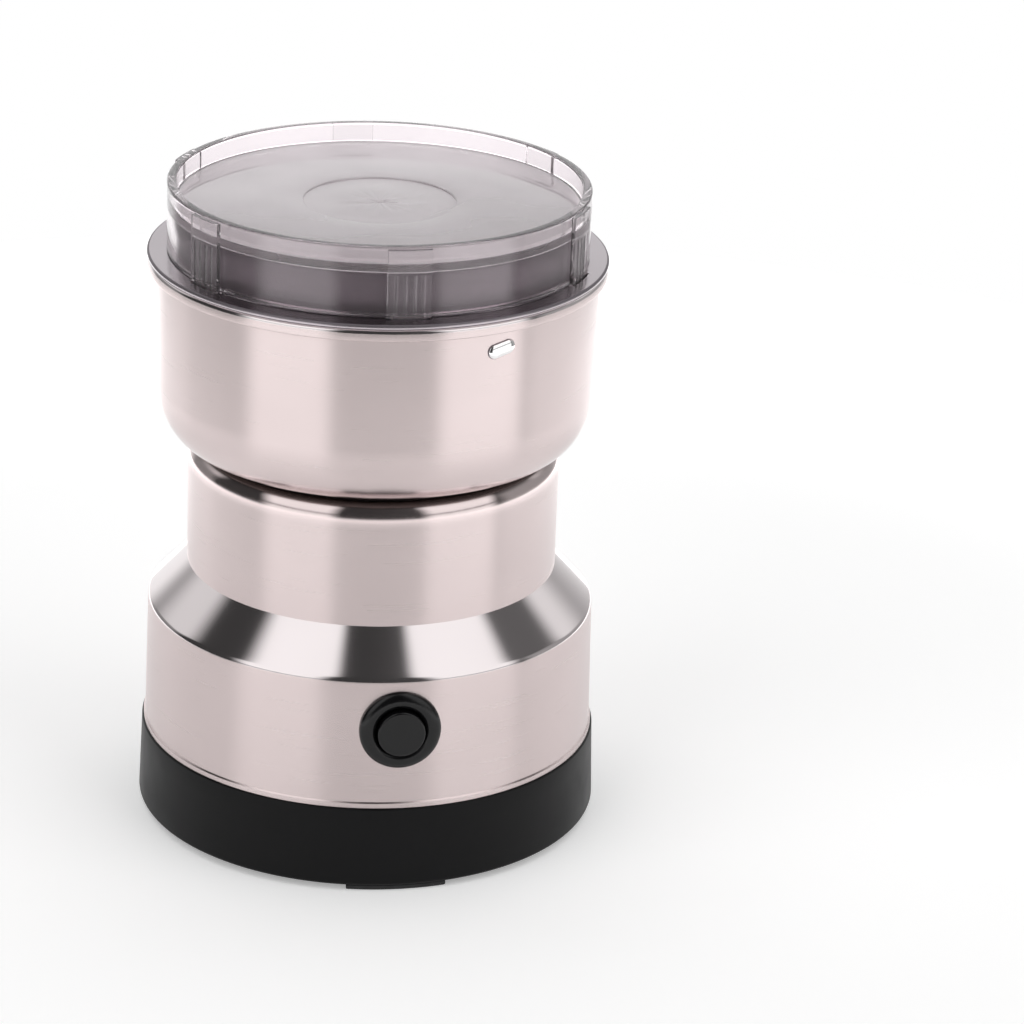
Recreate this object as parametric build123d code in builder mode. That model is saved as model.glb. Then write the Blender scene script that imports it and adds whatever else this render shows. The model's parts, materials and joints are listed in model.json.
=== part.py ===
from build123d import *
import os
from math import cos, radians, sin, tan

# Electric spice grinder: a clear lid over a steel bowl and cup, a stepped steel body and a black base.
# Millimetres, +Z up.  The origin lies under the feet on the motor's axis.  The push button faces -Y.

# ---------------------------------------------------------------- driving dimensions
FRONT = -90                 # angle of the push button about the motor's axis, degrees
BACK = 90                   # angle of the cord gland
SHEET = 0.6                 # steel sheet of the bowl, cup and body
FIT = 0.03                  # radial clearance of a running fit

FOOT_DROP = 1.2             # feet below the base
BASE_TOP = 20.0
BASE_LOW_RADIUS = 53.1
BASE_TOP_RADIUS = 52.4

BODY_LOW_RADIUS = 51.7      # body just above its bead
BEAD_RADIUS = 52.0
SHOULDER_RADIUS = 51.1      # body where the shoulder starts
SHOULDER_LOW = 49.8
SHOULDER_BEND = 2.0         # radius of the crease under the shoulder's cone
SHOULDER_LEAN = 44          # how far the cone faces upwards, degrees
NECK_RADIUS = 42.2
NECK_TOP = 89.4
NECK_BEND = 4.0

CUP_BOTTOM = 90.0
CUP_SEAT_RADIUS = 41.5
CUP_CORNER_HEIGHT = 103.9
CUP_RADIUS = 49.3
LIP_BOTTOM = 129.3
LIP_RADIUS = 51.3
SEAM = 132.0                # where the bowl's rolled edge sits on the cup's lip

FLANGE_TOP = 133.3
FLANGE_RADIUS = 51.45
COLLAR_RADIUS = 44.6
COLLAR_TOP = 142.8
BOWL_RADIUS = 43.4          # inside of the bowl
BOWL_FLOOR = 100.0
BOWL_CORNER = 10.0

LID_RADIUS = 47.1
LID_WALL = 2.1
LID_BOTTOM = 133.4
LID_DISC_BOTTOM = 143.1
LID_DISC_TOP = 144.7
LID_RIM = 149.1
CHANNELS = 6
CHANNEL_HALF = 5.65         # half of a channel's width, degrees
CHANNEL_RADIUS = 48.0
LUG_DROP = 1.5

BUTTON_HEIGHT = 38.9
BUTTON_RADIUS = 5.3
BUTTON_FACE = -54.05        # y of the button's face
BEZEL_RADIUS = 9.1

SHAFT_RADIUS = 4.0
BLADE_BOTTOM = 104.0
BLADE_THICKNESS = 2.0
BLADE_REACH = 36.5
ARM_WIDTH = 10.5

STATOR_RADIUS = 27.0
STACK_BOTTOM = 42.0
STACK_TOP = 62.0
ROTOR_RADIUS = 13.5
POST_CIRCLE = 36.0
BOLT_CIRCLE = 24.0
DAMPER_CIRCLE = 28.0
SUPPORT_SCREW_CIRCLE = 31.0

os.makedirs("parts", exist_ok=True)


# ---------------------------------------------------------------- helpers
def half_section(*corners):
    """Face with straight sides through (radius, height) corners, added to the open sketch."""
    with BuildLine() as outline:
        Polyline(*corners, close=True)
    make_face(outline.edges())


def ring_sector(inner, outer, middle, half, mode=Mode.ADD):
    """Face between two radii, half degrees each side of the middle angle, for the open sketch."""
    with BuildLine() as outline:
        far = CenterArc((0, 0), outer, middle - half, 2 * half)
        near = CenterArc((0, 0), inner, middle - half, 2 * half)
        Line(far @ 0, near @ 0)
        Line(far @ 1, near @ 1)
    make_face(outline.edges(), mode=mode)


def around(radius, angle):
    """Point at a radius and an angle about the motor's axis."""
    return radius * cos(radians(angle)), radius * sin(radians(angle))


def facing(angle, radius, height):
    """Plane that stands at a radius and looks outwards, with its x level and its y up."""
    x, y = around(radius, angle)
    outwards = (*around(1, angle), 0)
    level = (*around(1, angle + 90), 0)
    return Plane(origin=(x, y, height), x_dir=level, z_dir=outwards)


# ---------------------------------------------------------------- base
BASE_BOTTOM = FOOT_DROP
COVER_RADIUS = 43.8
COVER_TOP = 4.0
LEDGE_RADIUS = 41.0
LEDGE_TOP = 6.0
BASE_WALL_RADIUS = 50.2     # inside of the base's wall
SPIGOT_RADIUS = 50.7        # upstand that centres the body
SPIGOT_WALL = 1.8
SPIGOT_RISE = 6.0
FOOT_ANGLES = [FRONT, FRONT + 120, FRONT + 240]
FOOT_HALF = 12.5
FOOT_INNER = 44.8
FOOT_OUTER = 52.3
FOOT_PLUG_HALF = 8.0
FOOT_PLUG_INNER = 46.3
FOOT_PLUG_OUTER = 50.3
FOOT_PLUG_TOP = 3.0
FOOT_EDGE = 0.4
GLAND_HEIGHT = 11.25
GLAND_SEAT = 52.2           # y of the flat spot on the base's wall
GLAND_NECK_RADIUS = 4.3
GLAND_FLANGE_RADIUS = 6.2
GLAND_SPOT_CLEARANCE = 0.2
BASE_ROUND = 1.0            # lower outside edge of the base
SPIGOT_ROOT = BASE_TOP - 2.0
WALL_TOP = BASE_TOP - 3.5

gland_plane = facing(BACK, GLAND_SEAT, GLAND_HEIGHT)

with BuildPart() as base_ring:
    with BuildSketch(Plane.XZ):
        half_section(
            (COVER_RADIUS, BASE_BOTTOM),
            (BASE_LOW_RADIUS, BASE_BOTTOM),
            (BASE_TOP_RADIUS, BASE_TOP),
            (SPIGOT_RADIUS, BASE_TOP),
            (SPIGOT_RADIUS, BASE_TOP + SPIGOT_RISE),
            (SPIGOT_RADIUS - SPIGOT_WALL, BASE_TOP + SPIGOT_RISE),
            (SPIGOT_RADIUS - SPIGOT_WALL, SPIGOT_ROOT),
            (BASE_WALL_RADIUS, WALL_TOP),
            (BASE_WALL_RADIUS, LEDGE_TOP),
            (LEDGE_RADIUS, LEDGE_TOP),
            (LEDGE_RADIUS, COVER_TOP),
            (COVER_RADIUS, COVER_TOP),
        )
    revolve(axis=Axis.Z)
    fillet(base_ring.edges().group_by(Axis.Z)[0].sort_by(SortBy.LENGTH)[-1], radius=BASE_ROUND)
    with BuildSketch(Plane.XY.offset(BASE_BOTTOM)):
        for angle in FOOT_ANGLES:
            ring_sector(FOOT_PLUG_INNER, FOOT_PLUG_OUTER, angle, FOOT_PLUG_HALF)
    extrude(amount=FOOT_PLUG_TOP - BASE_BOTTOM, mode=Mode.SUBTRACT)
    with BuildSketch(gland_plane):
        Circle(GLAND_FLANGE_RADIUS + GLAND_SPOT_CLEARANCE)
    extrude(amount=BASE_LOW_RADIUS - BASE_WALL_RADIUS, mode=Mode.SUBTRACT)
    with BuildSketch(gland_plane):
        Circle(GLAND_NECK_RADIUS)
    extrude(amount=2 * (BASE_WALL_RADIUS - GLAND_SEAT), mode=Mode.SUBTRACT)
base_ring.part.label = "base_ring"
export_step(base_ring.part, "parts/base_ring.step")

with BuildPart() as feet:
    with BuildSketch(Plane.XY):
        for angle in FOOT_ANGLES:
            ring_sector(FOOT_INNER, FOOT_OUTER, angle, FOOT_HALF)
    extrude(amount=FOOT_DROP)
    fillet(feet.edges().group_by(Axis.Z)[0], radius=FOOT_EDGE)
    with BuildSketch(Plane.XY.offset(FOOT_DROP)):
        for angle in FOOT_ANGLES:
            ring_sector(FOOT_PLUG_INNER, FOOT_PLUG_OUTER, angle, FOOT_PLUG_HALF)
    extrude(amount=FOOT_PLUG_TOP - FOOT_DROP)
feet.part.label = "feet"
export_step(feet.part, "parts/feet.step")

# Vented cover that closes the base from below, with two bosses for the cord clamp.
COVER_BORE_DEPTH = 1.7
SCREW_RADIUS = 1.6
SCREW_CLEARANCE = 0.2
SCREW_HEAD_RADIUS = 3.2
SCREW_HEAD_CLEARANCE = 0.4
SCREW_HEAD_HEIGHT = 1.5
SCREW_HEAD_ROUND = 0.7
SCREW_LENGTH = 14.0
SCREW_START = 45            # first post and cover screw, degrees
VENTS = 20
VENT_LENGTH = 14.0
VENT_WIDTH = 2.2
VENT_CIRCLE = 22.0
CLAMP_Y = 34.0
CLAMP_SPACING = 16.0
CLAMP_BOTTOM = 14.5
CLAMP_BOSS_RADIUS = 3.0
CLAMP_SCREW_RADIUS = 1.25
CLAMP_HOLE_DEPTH = 8.0

underside = Plane(origin=(0, 0, BASE_BOTTOM), x_dir=(1, 0, 0), z_dir=(0, 0, -1))

with BuildPart() as bottom_cover:
    with BuildSketch(Plane.XY.offset(BASE_BOTTOM)):
        Circle(COVER_RADIUS)
        with PolarLocations(VENT_CIRCLE, VENTS):
            SlotOverall(VENT_LENGTH, VENT_WIDTH, mode=Mode.SUBTRACT)
    extrude(amount=COVER_TOP - BASE_BOTTOM)
    with Locations(underside):
        with PolarLocations(POST_CIRCLE, 4, start_angle=SCREW_START):
            CounterBoreHole(
                SCREW_RADIUS + SCREW_CLEARANCE, SCREW_HEAD_RADIUS + SCREW_HEAD_CLEARANCE, COVER_BORE_DEPTH
            )
    with BuildSketch(Plane.XY.offset(COVER_TOP)):
        with Locations((0, CLAMP_Y)):
            with GridLocations(CLAMP_SPACING, 0, 2, 1):
                Circle(CLAMP_BOSS_RADIUS)
    extrude(amount=CLAMP_BOTTOM - COVER_TOP)
    with Locations((0, CLAMP_Y, CLAMP_BOTTOM)):
        with GridLocations(CLAMP_SPACING, 0, 2, 1):
            Hole(CLAMP_SCREW_RADIUS, depth=CLAMP_HOLE_DEPTH)
bottom_cover.part.label = "bottom_cover"
export_step(bottom_cover.part, "parts/bottom_cover.step")

with BuildPart() as bottom_screws:
    with BuildSketch(Plane.XY.offset(BASE_BOTTOM + COVER_BORE_DEPTH)):
        with PolarLocations(POST_CIRCLE, 4, start_angle=SCREW_START):
            Circle(SCREW_HEAD_RADIUS)
    extrude(amount=-SCREW_HEAD_HEIGHT)
    fillet(bottom_screws.edges().group_by(Axis.Z)[0], radius=SCREW_HEAD_ROUND)
    with BuildSketch(Plane.XY.offset(BASE_BOTTOM + COVER_BORE_DEPTH)):
        with PolarLocations(POST_CIRCLE, 4, start_angle=SCREW_START):
            Circle(SCREW_RADIUS)
    extrude(amount=SCREW_LENGTH)
bottom_screws.part.label = "bottom_screws"
export_step(bottom_screws.part, "parts/bottom_screws.step")

GLAND_FACE = -BUTTON_FACE   # the gland stands out at the back as far as the button does at the front
GLAND_ROUND = 0.8
GLAND_NECK_LENGTH = 6.2
GLAND_BARB = 0.9            # step inside the base's wall that holds the gland
GLAND_BARB_DEPTH = 2.5
GLAND_BARB_LENGTH = 1.4
CORD_RADIUS = 3.4

with BuildPart() as cord_gland:
    with BuildSketch(gland_plane):
        Circle(GLAND_FLANGE_RADIUS)
    extrude(amount=GLAND_FACE - GLAND_SEAT)
    fillet(cord_gland.edges().group_by(Axis.Y)[-1], radius=GLAND_ROUND)
    with BuildSketch(gland_plane):
        Circle(GLAND_NECK_RADIUS)
    extrude(amount=-GLAND_NECK_LENGTH)
    with BuildSketch(gland_plane.offset(-GLAND_BARB_DEPTH)):
        Circle(GLAND_NECK_RADIUS + GLAND_BARB)
    extrude(amount=-GLAND_BARB_LENGTH)
    with BuildSketch(gland_plane.offset(-GLAND_NECK_LENGTH)):
        Circle(CORD_RADIUS)
    extrude(amount=2 * GLAND_NECK_LENGTH, mode=Mode.SUBTRACT)
cord_gland.part.label = "cord_gland"
export_step(cord_gland.part, "parts/cord_gland.step")

CLAMP_THICKNESS = 2.5
CLAMP_EDGE = 0.6
CLAMP_HEAD_RADIUS = 2.6
CLAMP_HEAD_HEIGHT = 1.8
CLAMP_SCREW_LENGTH = 9.0

with BuildPart() as cord_clamp:
    with BuildSketch(Plane.XY.offset(CLAMP_BOTTOM)):
        with Locations((0, CLAMP_Y)):
            SlotCenterToCenter(CLAMP_SPACING, 2 * CLAMP_BOSS_RADIUS)
            with GridLocations(CLAMP_SPACING, 0, 2, 1):
                Circle(CLAMP_SCREW_RADIUS, mode=Mode.SUBTRACT)
    extrude(amount=CLAMP_THICKNESS)
    fillet(cord_clamp.edges().filter_by(GeomType.LINE).group_by(Axis.Z)[-1], radius=CLAMP_EDGE)
cord_clamp.part.label = "cord_clamp"
export_step(cord_clamp.part, "parts/cord_clamp.step")

with BuildPart() as clamp_screws:
    with BuildSketch(Plane.XY.offset(CLAMP_BOTTOM + CLAMP_THICKNESS)):
        with Locations((0, CLAMP_Y)):
            with GridLocations(CLAMP_SPACING, 0, 2, 1):
                Circle(CLAMP_HEAD_RADIUS)
    extrude(amount=CLAMP_HEAD_HEIGHT)
    fillet(clamp_screws.edges().group_by(Axis.Z)[-1], radius=SCREW_HEAD_ROUND)
    with BuildSketch(Plane.XY.offset(CLAMP_BOTTOM + CLAMP_THICKNESS)):
        with Locations((0, CLAMP_Y)):
            with GridLocations(CLAMP_SPACING, 0, 2, 1):
                Circle(CLAMP_SCREW_RADIUS)
    extrude(amount=-CLAMP_SCREW_LENGTH)
clamp_screws.part.label = "clamp_screws"
export_step(clamp_screws.part, "parts/clamp_screws.step")

CAPACITOR_X = -33.5
CAPACITOR_SIZE = (9.0, 18.0, 13.0)

with BuildPart() as suppression_capacitor:
    with Locations((CAPACITOR_X, 0, COVER_TOP)):
        Box(*CAPACITOR_SIZE, align=(Align.CENTER, Align.CENTER, Align.MIN))
    fillet(suppression_capacitor.edges().filter_by(Axis.Z), radius=1.0)
suppression_capacitor.part.label = "suppression_capacitor"
export_step(suppression_capacitor.part, "parts/suppression_capacitor.step")


# ---------------------------------------------------------------- body
CENTRE_HOLE = 14.0          # through the tops of the body and frame and the cup's bottom
BEAD_TOP = 21.5
BEAD_SLOPE = 0.3
BODY_BORE = 7.6             # for the bezel's barrel
SUPPORT_START = 22.5        # first of the screws through body and cup, degrees
SUPPORT_CLEARANCE = 2.1     # radius of their clearance holes


def body_side(inset):
    """One side of the body's sheet, from its lower edge to the hole in its top."""
    neck = NECK_RADIUS - inset
    top = NECK_TOP - inset
    bend = NECK_BEND - inset
    crease_centre = (SHOULDER_RADIUS - SHOULDER_BEND, SHOULDER_LOW)
    with BuildLine() as side:
        Line((BODY_LOW_RADIUS - inset, BASE_TOP), (SHOULDER_RADIUS - inset, SHOULDER_LOW))
        crease = CenterArc(crease_centre, SHOULDER_BEND - inset, 0, SHOULDER_LEAN)
        cone_foot = crease @ 1
        neck_foot = cone_foot.Y + (cone_foot.X - neck) / tan(radians(SHOULDER_LEAN))
        Line(cone_foot, (neck, neck_foot))
        Line((neck, neck_foot), (neck, top - bend))
        CenterArc((neck - bend, top - bend), bend, 0, 90)
        Line((neck - bend, top), (CENTRE_HOLE, top))
    return side


with BuildPart() as body_shell:
    with BuildSketch(Plane.XZ):
        outside = body_side(0).edges()
        inside = body_side(SHEET).edges()
        foot = Edge.make_line((BODY_LOW_RADIUS, BASE_TOP), (BODY_LOW_RADIUS - SHEET, BASE_TOP))
        mouth = Edge.make_line((CENTRE_HOLE, NECK_TOP), (CENTRE_HOLE, NECK_TOP - SHEET))
        make_face([*outside, *inside, foot, mouth])
    revolve(axis=Axis.Z)
    with BuildSketch(Plane.XZ):
        half_section(
            (BODY_LOW_RADIUS - SHEET, BASE_TOP),
            (BEAD_RADIUS, BASE_TOP),
            (BEAD_RADIUS, BEAD_TOP - BEAD_SLOPE),
            (BODY_LOW_RADIUS - SHEET, BEAD_TOP),
        )
    revolve(axis=Axis.Z)
    with BuildSketch(facing(FRONT, NECK_RADIUS, BUTTON_HEIGHT)):
        Circle(BODY_BORE)
    extrude(amount=BODY_LOW_RADIUS - NECK_RADIUS + SHEET, mode=Mode.SUBTRACT)
    with Locations((0, 0, NECK_TOP)):
        with PolarLocations(SUPPORT_SCREW_CIRCLE, 4, start_angle=SUPPORT_START):
            Hole(SUPPORT_CLEARANCE, depth=2 * SHEET)
body_shell.part.label = "body_shell"
export_step(body_shell.part, "parts/body_shell.step")

# Moulded frame inside the body: four posts on the cover, a hoop and a deck under the body's top.
POST_RADIUS = 4.5
DECK_RADIUS = 38.0
DECK_TOP = NECK_TOP - SHEET
DECK_BOTTOM = DECK_TOP - 3.0
DECK_HOLE = 18.0
HOOP_BOTTOM = 22.0
HOOP_TOP = 26.0
HOOP_WALL = 2.0
DAMPER_SCREW_RADIUS = 1.5

with BuildPart() as inner_frame:
    with BuildSketch(Plane.XY.offset(COVER_TOP)):
        with PolarLocations(POST_CIRCLE, 4, start_angle=SCREW_START):
            Circle(POST_RADIUS)
    extrude(amount=DECK_BOTTOM - COVER_TOP)
    with BuildSketch(Plane.XY.offset(DECK_BOTTOM)):
        Circle(DECK_RADIUS)
        Circle(DECK_HOLE, mode=Mode.SUBTRACT)
        with PolarLocations(SUPPORT_SCREW_CIRCLE, 4, start_angle=SUPPORT_START):
            Circle(SUPPORT_CLEARANCE, mode=Mode.SUBTRACT)
        with PolarLocations(DAMPER_CIRCLE, 4):
            Circle(DAMPER_SCREW_RADIUS, mode=Mode.SUBTRACT)
    extrude(amount=DECK_TOP - DECK_BOTTOM)
    with BuildSketch(Plane.XY.offset(HOOP_BOTTOM)):
        Circle(POST_CIRCLE + POST_RADIUS)
        Circle(POST_CIRCLE + POST_RADIUS - HOOP_WALL, mode=Mode.SUBTRACT)
    extrude(amount=HOOP_TOP - HOOP_BOTTOM)
    with Locations(Plane(origin=(0, 0, COVER_TOP), x_dir=(1, 0, 0), z_dir=(0, 0, -1))):
        with PolarLocations(POST_CIRCLE, 4, start_angle=SCREW_START):
            Hole(SCREW_RADIUS, depth=SCREW_LENGTH)
inner_frame.part.label = "inner_frame"
export_step(inner_frame.part, "parts/inner_frame.step")


# ---------------------------------------------------------------- push button and power switch
# The button slides along Y in a bezel that is screwed through the body's front.
BUTTON_AXIS = Axis((0, 0, BUTTON_HEIGHT), (0, 1, 0))
BARREL_RADIUS = 7.5
BARREL_BACK = -40.0
CHAMBER_RADIUS = 6.6
CHAMBER_FRONT = -48.0
GUIDE_RADIUS = 5.5          # bezel's bore round the button
BEZEL_CREST = -52.85
COLLAR_FRONT = -47.5        # button's own collar, which holds it in the bezel
COLLAR_BACK = -46.0
STEM_RADIUS = 2.0
STEM_BACK = -42.7
PLUNGER_RADIUS = 1.2
PLUNGER_BACK = -38.5
NUT_FRONT = -49.55
NUT_THICKNESS = 3.0
BEZEL_NUT_RADIUS = 10.5
BEZEL_LIP = 6.2             # radii along the bezel's rounded face
BEZEL_FLAT = 7.0
BEZEL_BROW = 8.5
BEZEL_SIDE = BEZEL_CREST + 1.7
COLLAR_CLEARANCE = 0.3
BUTTON_EDGE = 0.5

with BuildPart() as switch_bezel:
    with BuildSketch(Plane.XY.offset(BUTTON_HEIGHT)):
        with BuildLine():
            Line((GUIDE_RADIUS, CHAMBER_FRONT), (GUIDE_RADIUS, BEZEL_CREST + 0.4))
            ThreePointArc(
                (GUIDE_RADIUS, BEZEL_CREST + 0.4), (BEZEL_LIP, BEZEL_CREST + 0.08), (BEZEL_FLAT, BEZEL_CREST)
            )
            ThreePointArc(
                (BEZEL_FLAT, BEZEL_CREST), (BEZEL_BROW, BEZEL_CREST + 0.5), (BEZEL_RADIUS, BEZEL_SIDE)
            )
            Line((BEZEL_RADIUS, BEZEL_SIDE), (BEZEL_RADIUS, CHAMBER_FRONT))
            Line((BEZEL_RADIUS, CHAMBER_FRONT), (GUIDE_RADIUS, CHAMBER_FRONT))
        make_face()
    revolve(axis=BUTTON_AXIS)
    with Locations((0, 0, BASE_TOP)):
        Cone(
            BODY_LOW_RADIUS,
            SHOULDER_RADIUS,
            SHOULDER_LOW - BASE_TOP,
            align=(Align.CENTER, Align.CENTER, Align.MIN),
            mode=Mode.SUBTRACT,
        )
    with BuildSketch(Plane.XY.offset(BUTTON_HEIGHT)):
        half_section(
            (GUIDE_RADIUS, BEZEL_CREST + 2),
            (BARREL_RADIUS, BEZEL_CREST + 2),
            (BARREL_RADIUS, BARREL_BACK),
            (CHAMBER_RADIUS, BARREL_BACK),
            (CHAMBER_RADIUS, CHAMBER_FRONT),
            (GUIDE_RADIUS, CHAMBER_FRONT),
        )
    revolve(axis=BUTTON_AXIS)
switch_bezel.part.label = "switch_bezel"
export_step(switch_bezel.part, "parts/switch_bezel.step")

with BuildPart() as bezel_nut:
    with BuildSketch(facing(FRONT, -NUT_FRONT, BUTTON_HEIGHT)):
        RegularPolygon(BEZEL_NUT_RADIUS, 6)
        Circle(BARREL_RADIUS, mode=Mode.SUBTRACT)
    extrude(amount=-NUT_THICKNESS)
bezel_nut.part.label = "bezel_nut"
export_step(bezel_nut.part, "parts/bezel_nut.step")

with BuildPart() as push_button:
    with BuildSketch(Plane.XY.offset(BUTTON_HEIGHT)):
        half_section(
            (0, BUTTON_FACE),
            (BUTTON_RADIUS, BUTTON_FACE),
            (BUTTON_RADIUS, COLLAR_FRONT),
            (CHAMBER_RADIUS - COLLAR_CLEARANCE, COLLAR_FRONT),
            (CHAMBER_RADIUS - COLLAR_CLEARANCE, COLLAR_BACK),
            (STEM_RADIUS, COLLAR_BACK),
            (STEM_RADIUS, STEM_BACK),
            (0, STEM_BACK),
        )
    revolve(axis=BUTTON_AXIS)
    fillet(push_button.edges().group_by(Axis.Y)[0], radius=BUTTON_EDGE)
push_button.part.label = "push_button"
export_step(push_button.part, "parts/push_button.step")

with BuildPart() as switch_plunger:
    with BuildSketch(facing(FRONT, -STEM_BACK, BUTTON_HEIGHT)):
        Circle(PLUNGER_RADIUS)
    extrude(amount=PLUNGER_BACK - STEM_BACK, dir=(0, 1, 0))
    fillet(switch_plunger.edges().group_by(Axis.Y)[0], radius=0.3)
switch_plunger.part.label = "switch_plunger"
export_step(switch_plunger.part, "parts/switch_plunger.step")


def coil_spring(start, direction, length, radius, wire, turns):
    """Open coil spring of square wire that fills its length from start along direction."""
    rise = length - wire
    first = Vector(*start) + Vector(*direction) * (wire / 2)
    with BuildPart() as spring:
        with BuildLine() as coil:
            Helix(rise / turns, rise, radius, center=first, direction=direction)
        with BuildSketch(Plane(origin=coil.line @ 0, z_dir=coil.line % 0)):
            Rectangle(wire * 0.9, wire * 0.9)
        sweep(is_frenet=True)
    return spring.part


with BuildPart() as button_spring:
    add(
        coil_spring(
            start=(0, COLLAR_BACK, BUTTON_HEIGHT),
            direction=(0, 1, 0),
            length=BARREL_BACK - COLLAR_BACK,
            radius=4.0,
            wire=0.7,
            turns=3.5,
        )
    )
button_spring.part.label = "button_spring"
export_step(button_spring.part, "parts/button_spring.step")

SWITCH_WIDTH = 20.0
SWITCH_HEIGHT = 12.0
SWITCH_DEPTH = 9.0
SWITCH_BACK_WALL = 2.0
TERMINAL_LENGTH = 3.2
TERMINAL_SPACING = 6.5
TERMINAL_SIZE = (0.8, 4.8)

with BuildPart() as power_switch:
    with BuildSketch(facing(FRONT, -BARREL_BACK, BUTTON_HEIGHT)):
        RectangleRounded(SWITCH_WIDTH, SWITCH_HEIGHT, 1.0)
        Circle(PLUNGER_RADIUS + FIT, mode=Mode.SUBTRACT)
    extrude(amount=-SWITCH_DEPTH)
    with BuildSketch(facing(FRONT, -BARREL_BACK - SWITCH_DEPTH + SWITCH_BACK_WALL, BUTTON_HEIGHT)):
        Circle(PLUNGER_RADIUS + FIT)
    extrude(amount=-SWITCH_BACK_WALL)
    with BuildSketch(facing(FRONT, -BARREL_BACK - SWITCH_DEPTH, BUTTON_HEIGHT)):
        with GridLocations(TERMINAL_SPACING, 0, 3, 1):
            Rectangle(*TERMINAL_SIZE)
    extrude(amount=-TERMINAL_LENGTH)
power_switch.part.label = "power_switch"
export_step(power_switch.part, "parts/power_switch.step")


# ---------------------------------------------------------------- outer cup
CUP_CORNER_RUN = CUP_RADIUS - CUP_SEAT_RADIUS
CUP_CORNER_RISE = CUP_CORNER_HEIGHT - CUP_BOTTOM
CUP_TOP_RADIUS = 49.5
LIP_ROUND = 0.4


def cup_side(inset):
    """One side of the cup's sheet, from the hole in its bottom to just under the lip."""
    with BuildLine() as side:
        Line((CENTRE_HOLE, CUP_BOTTOM + inset), (CUP_SEAT_RADIUS, CUP_BOTTOM + inset))
        EllipticalCenterArc(
            (CUP_SEAT_RADIUS, CUP_CORNER_HEIGHT),
            CUP_CORNER_RUN - inset,
            CUP_CORNER_RISE - inset,
            270,
            arc_size=90,
        )
        Line((CUP_RADIUS - inset, CUP_CORNER_HEIGHT), (CUP_TOP_RADIUS - inset, LIP_BOTTOM))
    return side


with BuildPart() as cup_shell:
    with BuildSketch(Plane.XZ):
        mouth = Edge.make_line((CUP_TOP_RADIUS, LIP_BOTTOM), (CUP_TOP_RADIUS - SHEET, LIP_BOTTOM))
        hole = Edge.make_line((CENTRE_HOLE, CUP_BOTTOM), (CENTRE_HOLE, CUP_BOTTOM + SHEET))
        make_face([*cup_side(0).edges(), *cup_side(SHEET).edges(), mouth, hole])
    revolve(axis=Axis.Z)
    with BuildSketch(Plane.XZ):
        half_section(
            (CUP_TOP_RADIUS - SHEET, LIP_BOTTOM),
            (LIP_RADIUS - LIP_ROUND, LIP_BOTTOM),
            (LIP_RADIUS, LIP_BOTTOM + LIP_ROUND),
            (LIP_RADIUS, SEAM - LIP_ROUND),
            (LIP_RADIUS - LIP_ROUND, SEAM),
            (CUP_TOP_RADIUS - SHEET, SEAM),
        )
    revolve(axis=Axis.Z)
    with Locations((0, 0, CUP_BOTTOM + SHEET)):
        with PolarLocations(SUPPORT_SCREW_CIRCLE, 4, start_angle=SUPPORT_START):
            Hole(SUPPORT_CLEARANCE, depth=2 * SHEET)
cup_shell.part.label = "cup_shell"
export_step(cup_shell.part, "parts/cup_shell.step")

# Polished oval stud to the right of the front, riveted through the cup.
STUD_ANGLE = FRONT + 24.6
STUD_HEIGHT = 125.1
STUD_LENGTH = 6.8
STUD_WIDTH = 3.4
STUD_TILT = 11
STUD_FACE = 50.2
STUD_DEPTH = 2.0
STUD_ROUND = 0.5

with BuildPart() as cup_stud:
    with BuildSketch(facing(STUD_ANGLE, STUD_FACE, STUD_HEIGHT)):
        SlotOverall(STUD_LENGTH, STUD_WIDTH, rotation=STUD_TILT)
    extrude(amount=-STUD_DEPTH)
    stud_axis = Axis(origin=(0, 0, 0), direction=(*around(1, STUD_ANGLE), 0))
    fillet(cup_stud.faces().sort_by(stud_axis)[-1].edges(), STUD_ROUND)
    with BuildSketch(Plane.XZ):
        half_section(
            (0, CUP_CORNER_HEIGHT),
            (CUP_RADIUS, CUP_CORNER_HEIGHT),
            (CUP_TOP_RADIUS, LIP_BOTTOM),
            (0, LIP_BOTTOM),
        )
    revolve(axis=Axis.Z, mode=Mode.SUBTRACT)
cup_stud.part.label = "cup_stud"
export_step(cup_stud.part, "parts/cup_stud.step")

GASKET_OUTER = NECK_RADIUS - NECK_BEND - 0.4
GASKET_INNER = 20.0

with BuildPart() as neck_gasket:
    with BuildSketch(Plane.XY.offset(NECK_TOP)):
        Circle(GASKET_OUTER)
        Circle(GASKET_INNER, mode=Mode.SUBTRACT)
        with PolarLocations(SUPPORT_SCREW_CIRCLE, 4, start_angle=SUPPORT_START):
            Circle(SUPPORT_CLEARANCE, mode=Mode.SUBTRACT)
    extrude(amount=CUP_BOTTOM - NECK_TOP)
neck_gasket.part.label = "neck_gasket"
export_step(neck_gasket.part, "parts/neck_gasket.step")


# ---------------------------------------------------------------- bowl
HUB_RADIUS = 9.0            # seal housing where it passes the bowl's floor
FLANGE_UNDER = FLANGE_TOP - SHEET
HEM_INNER = 49.9
FLANGE_ROUND = 0.6
COLLAR_ROOT = 0.5
SLOT_INNER = 45.15
SLOT_OUTER = 48.3
SLOT_HALF = 5.9
FLANGE_FALL = 0.15          # the flange's top drops this much from the collar to its edge

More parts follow.
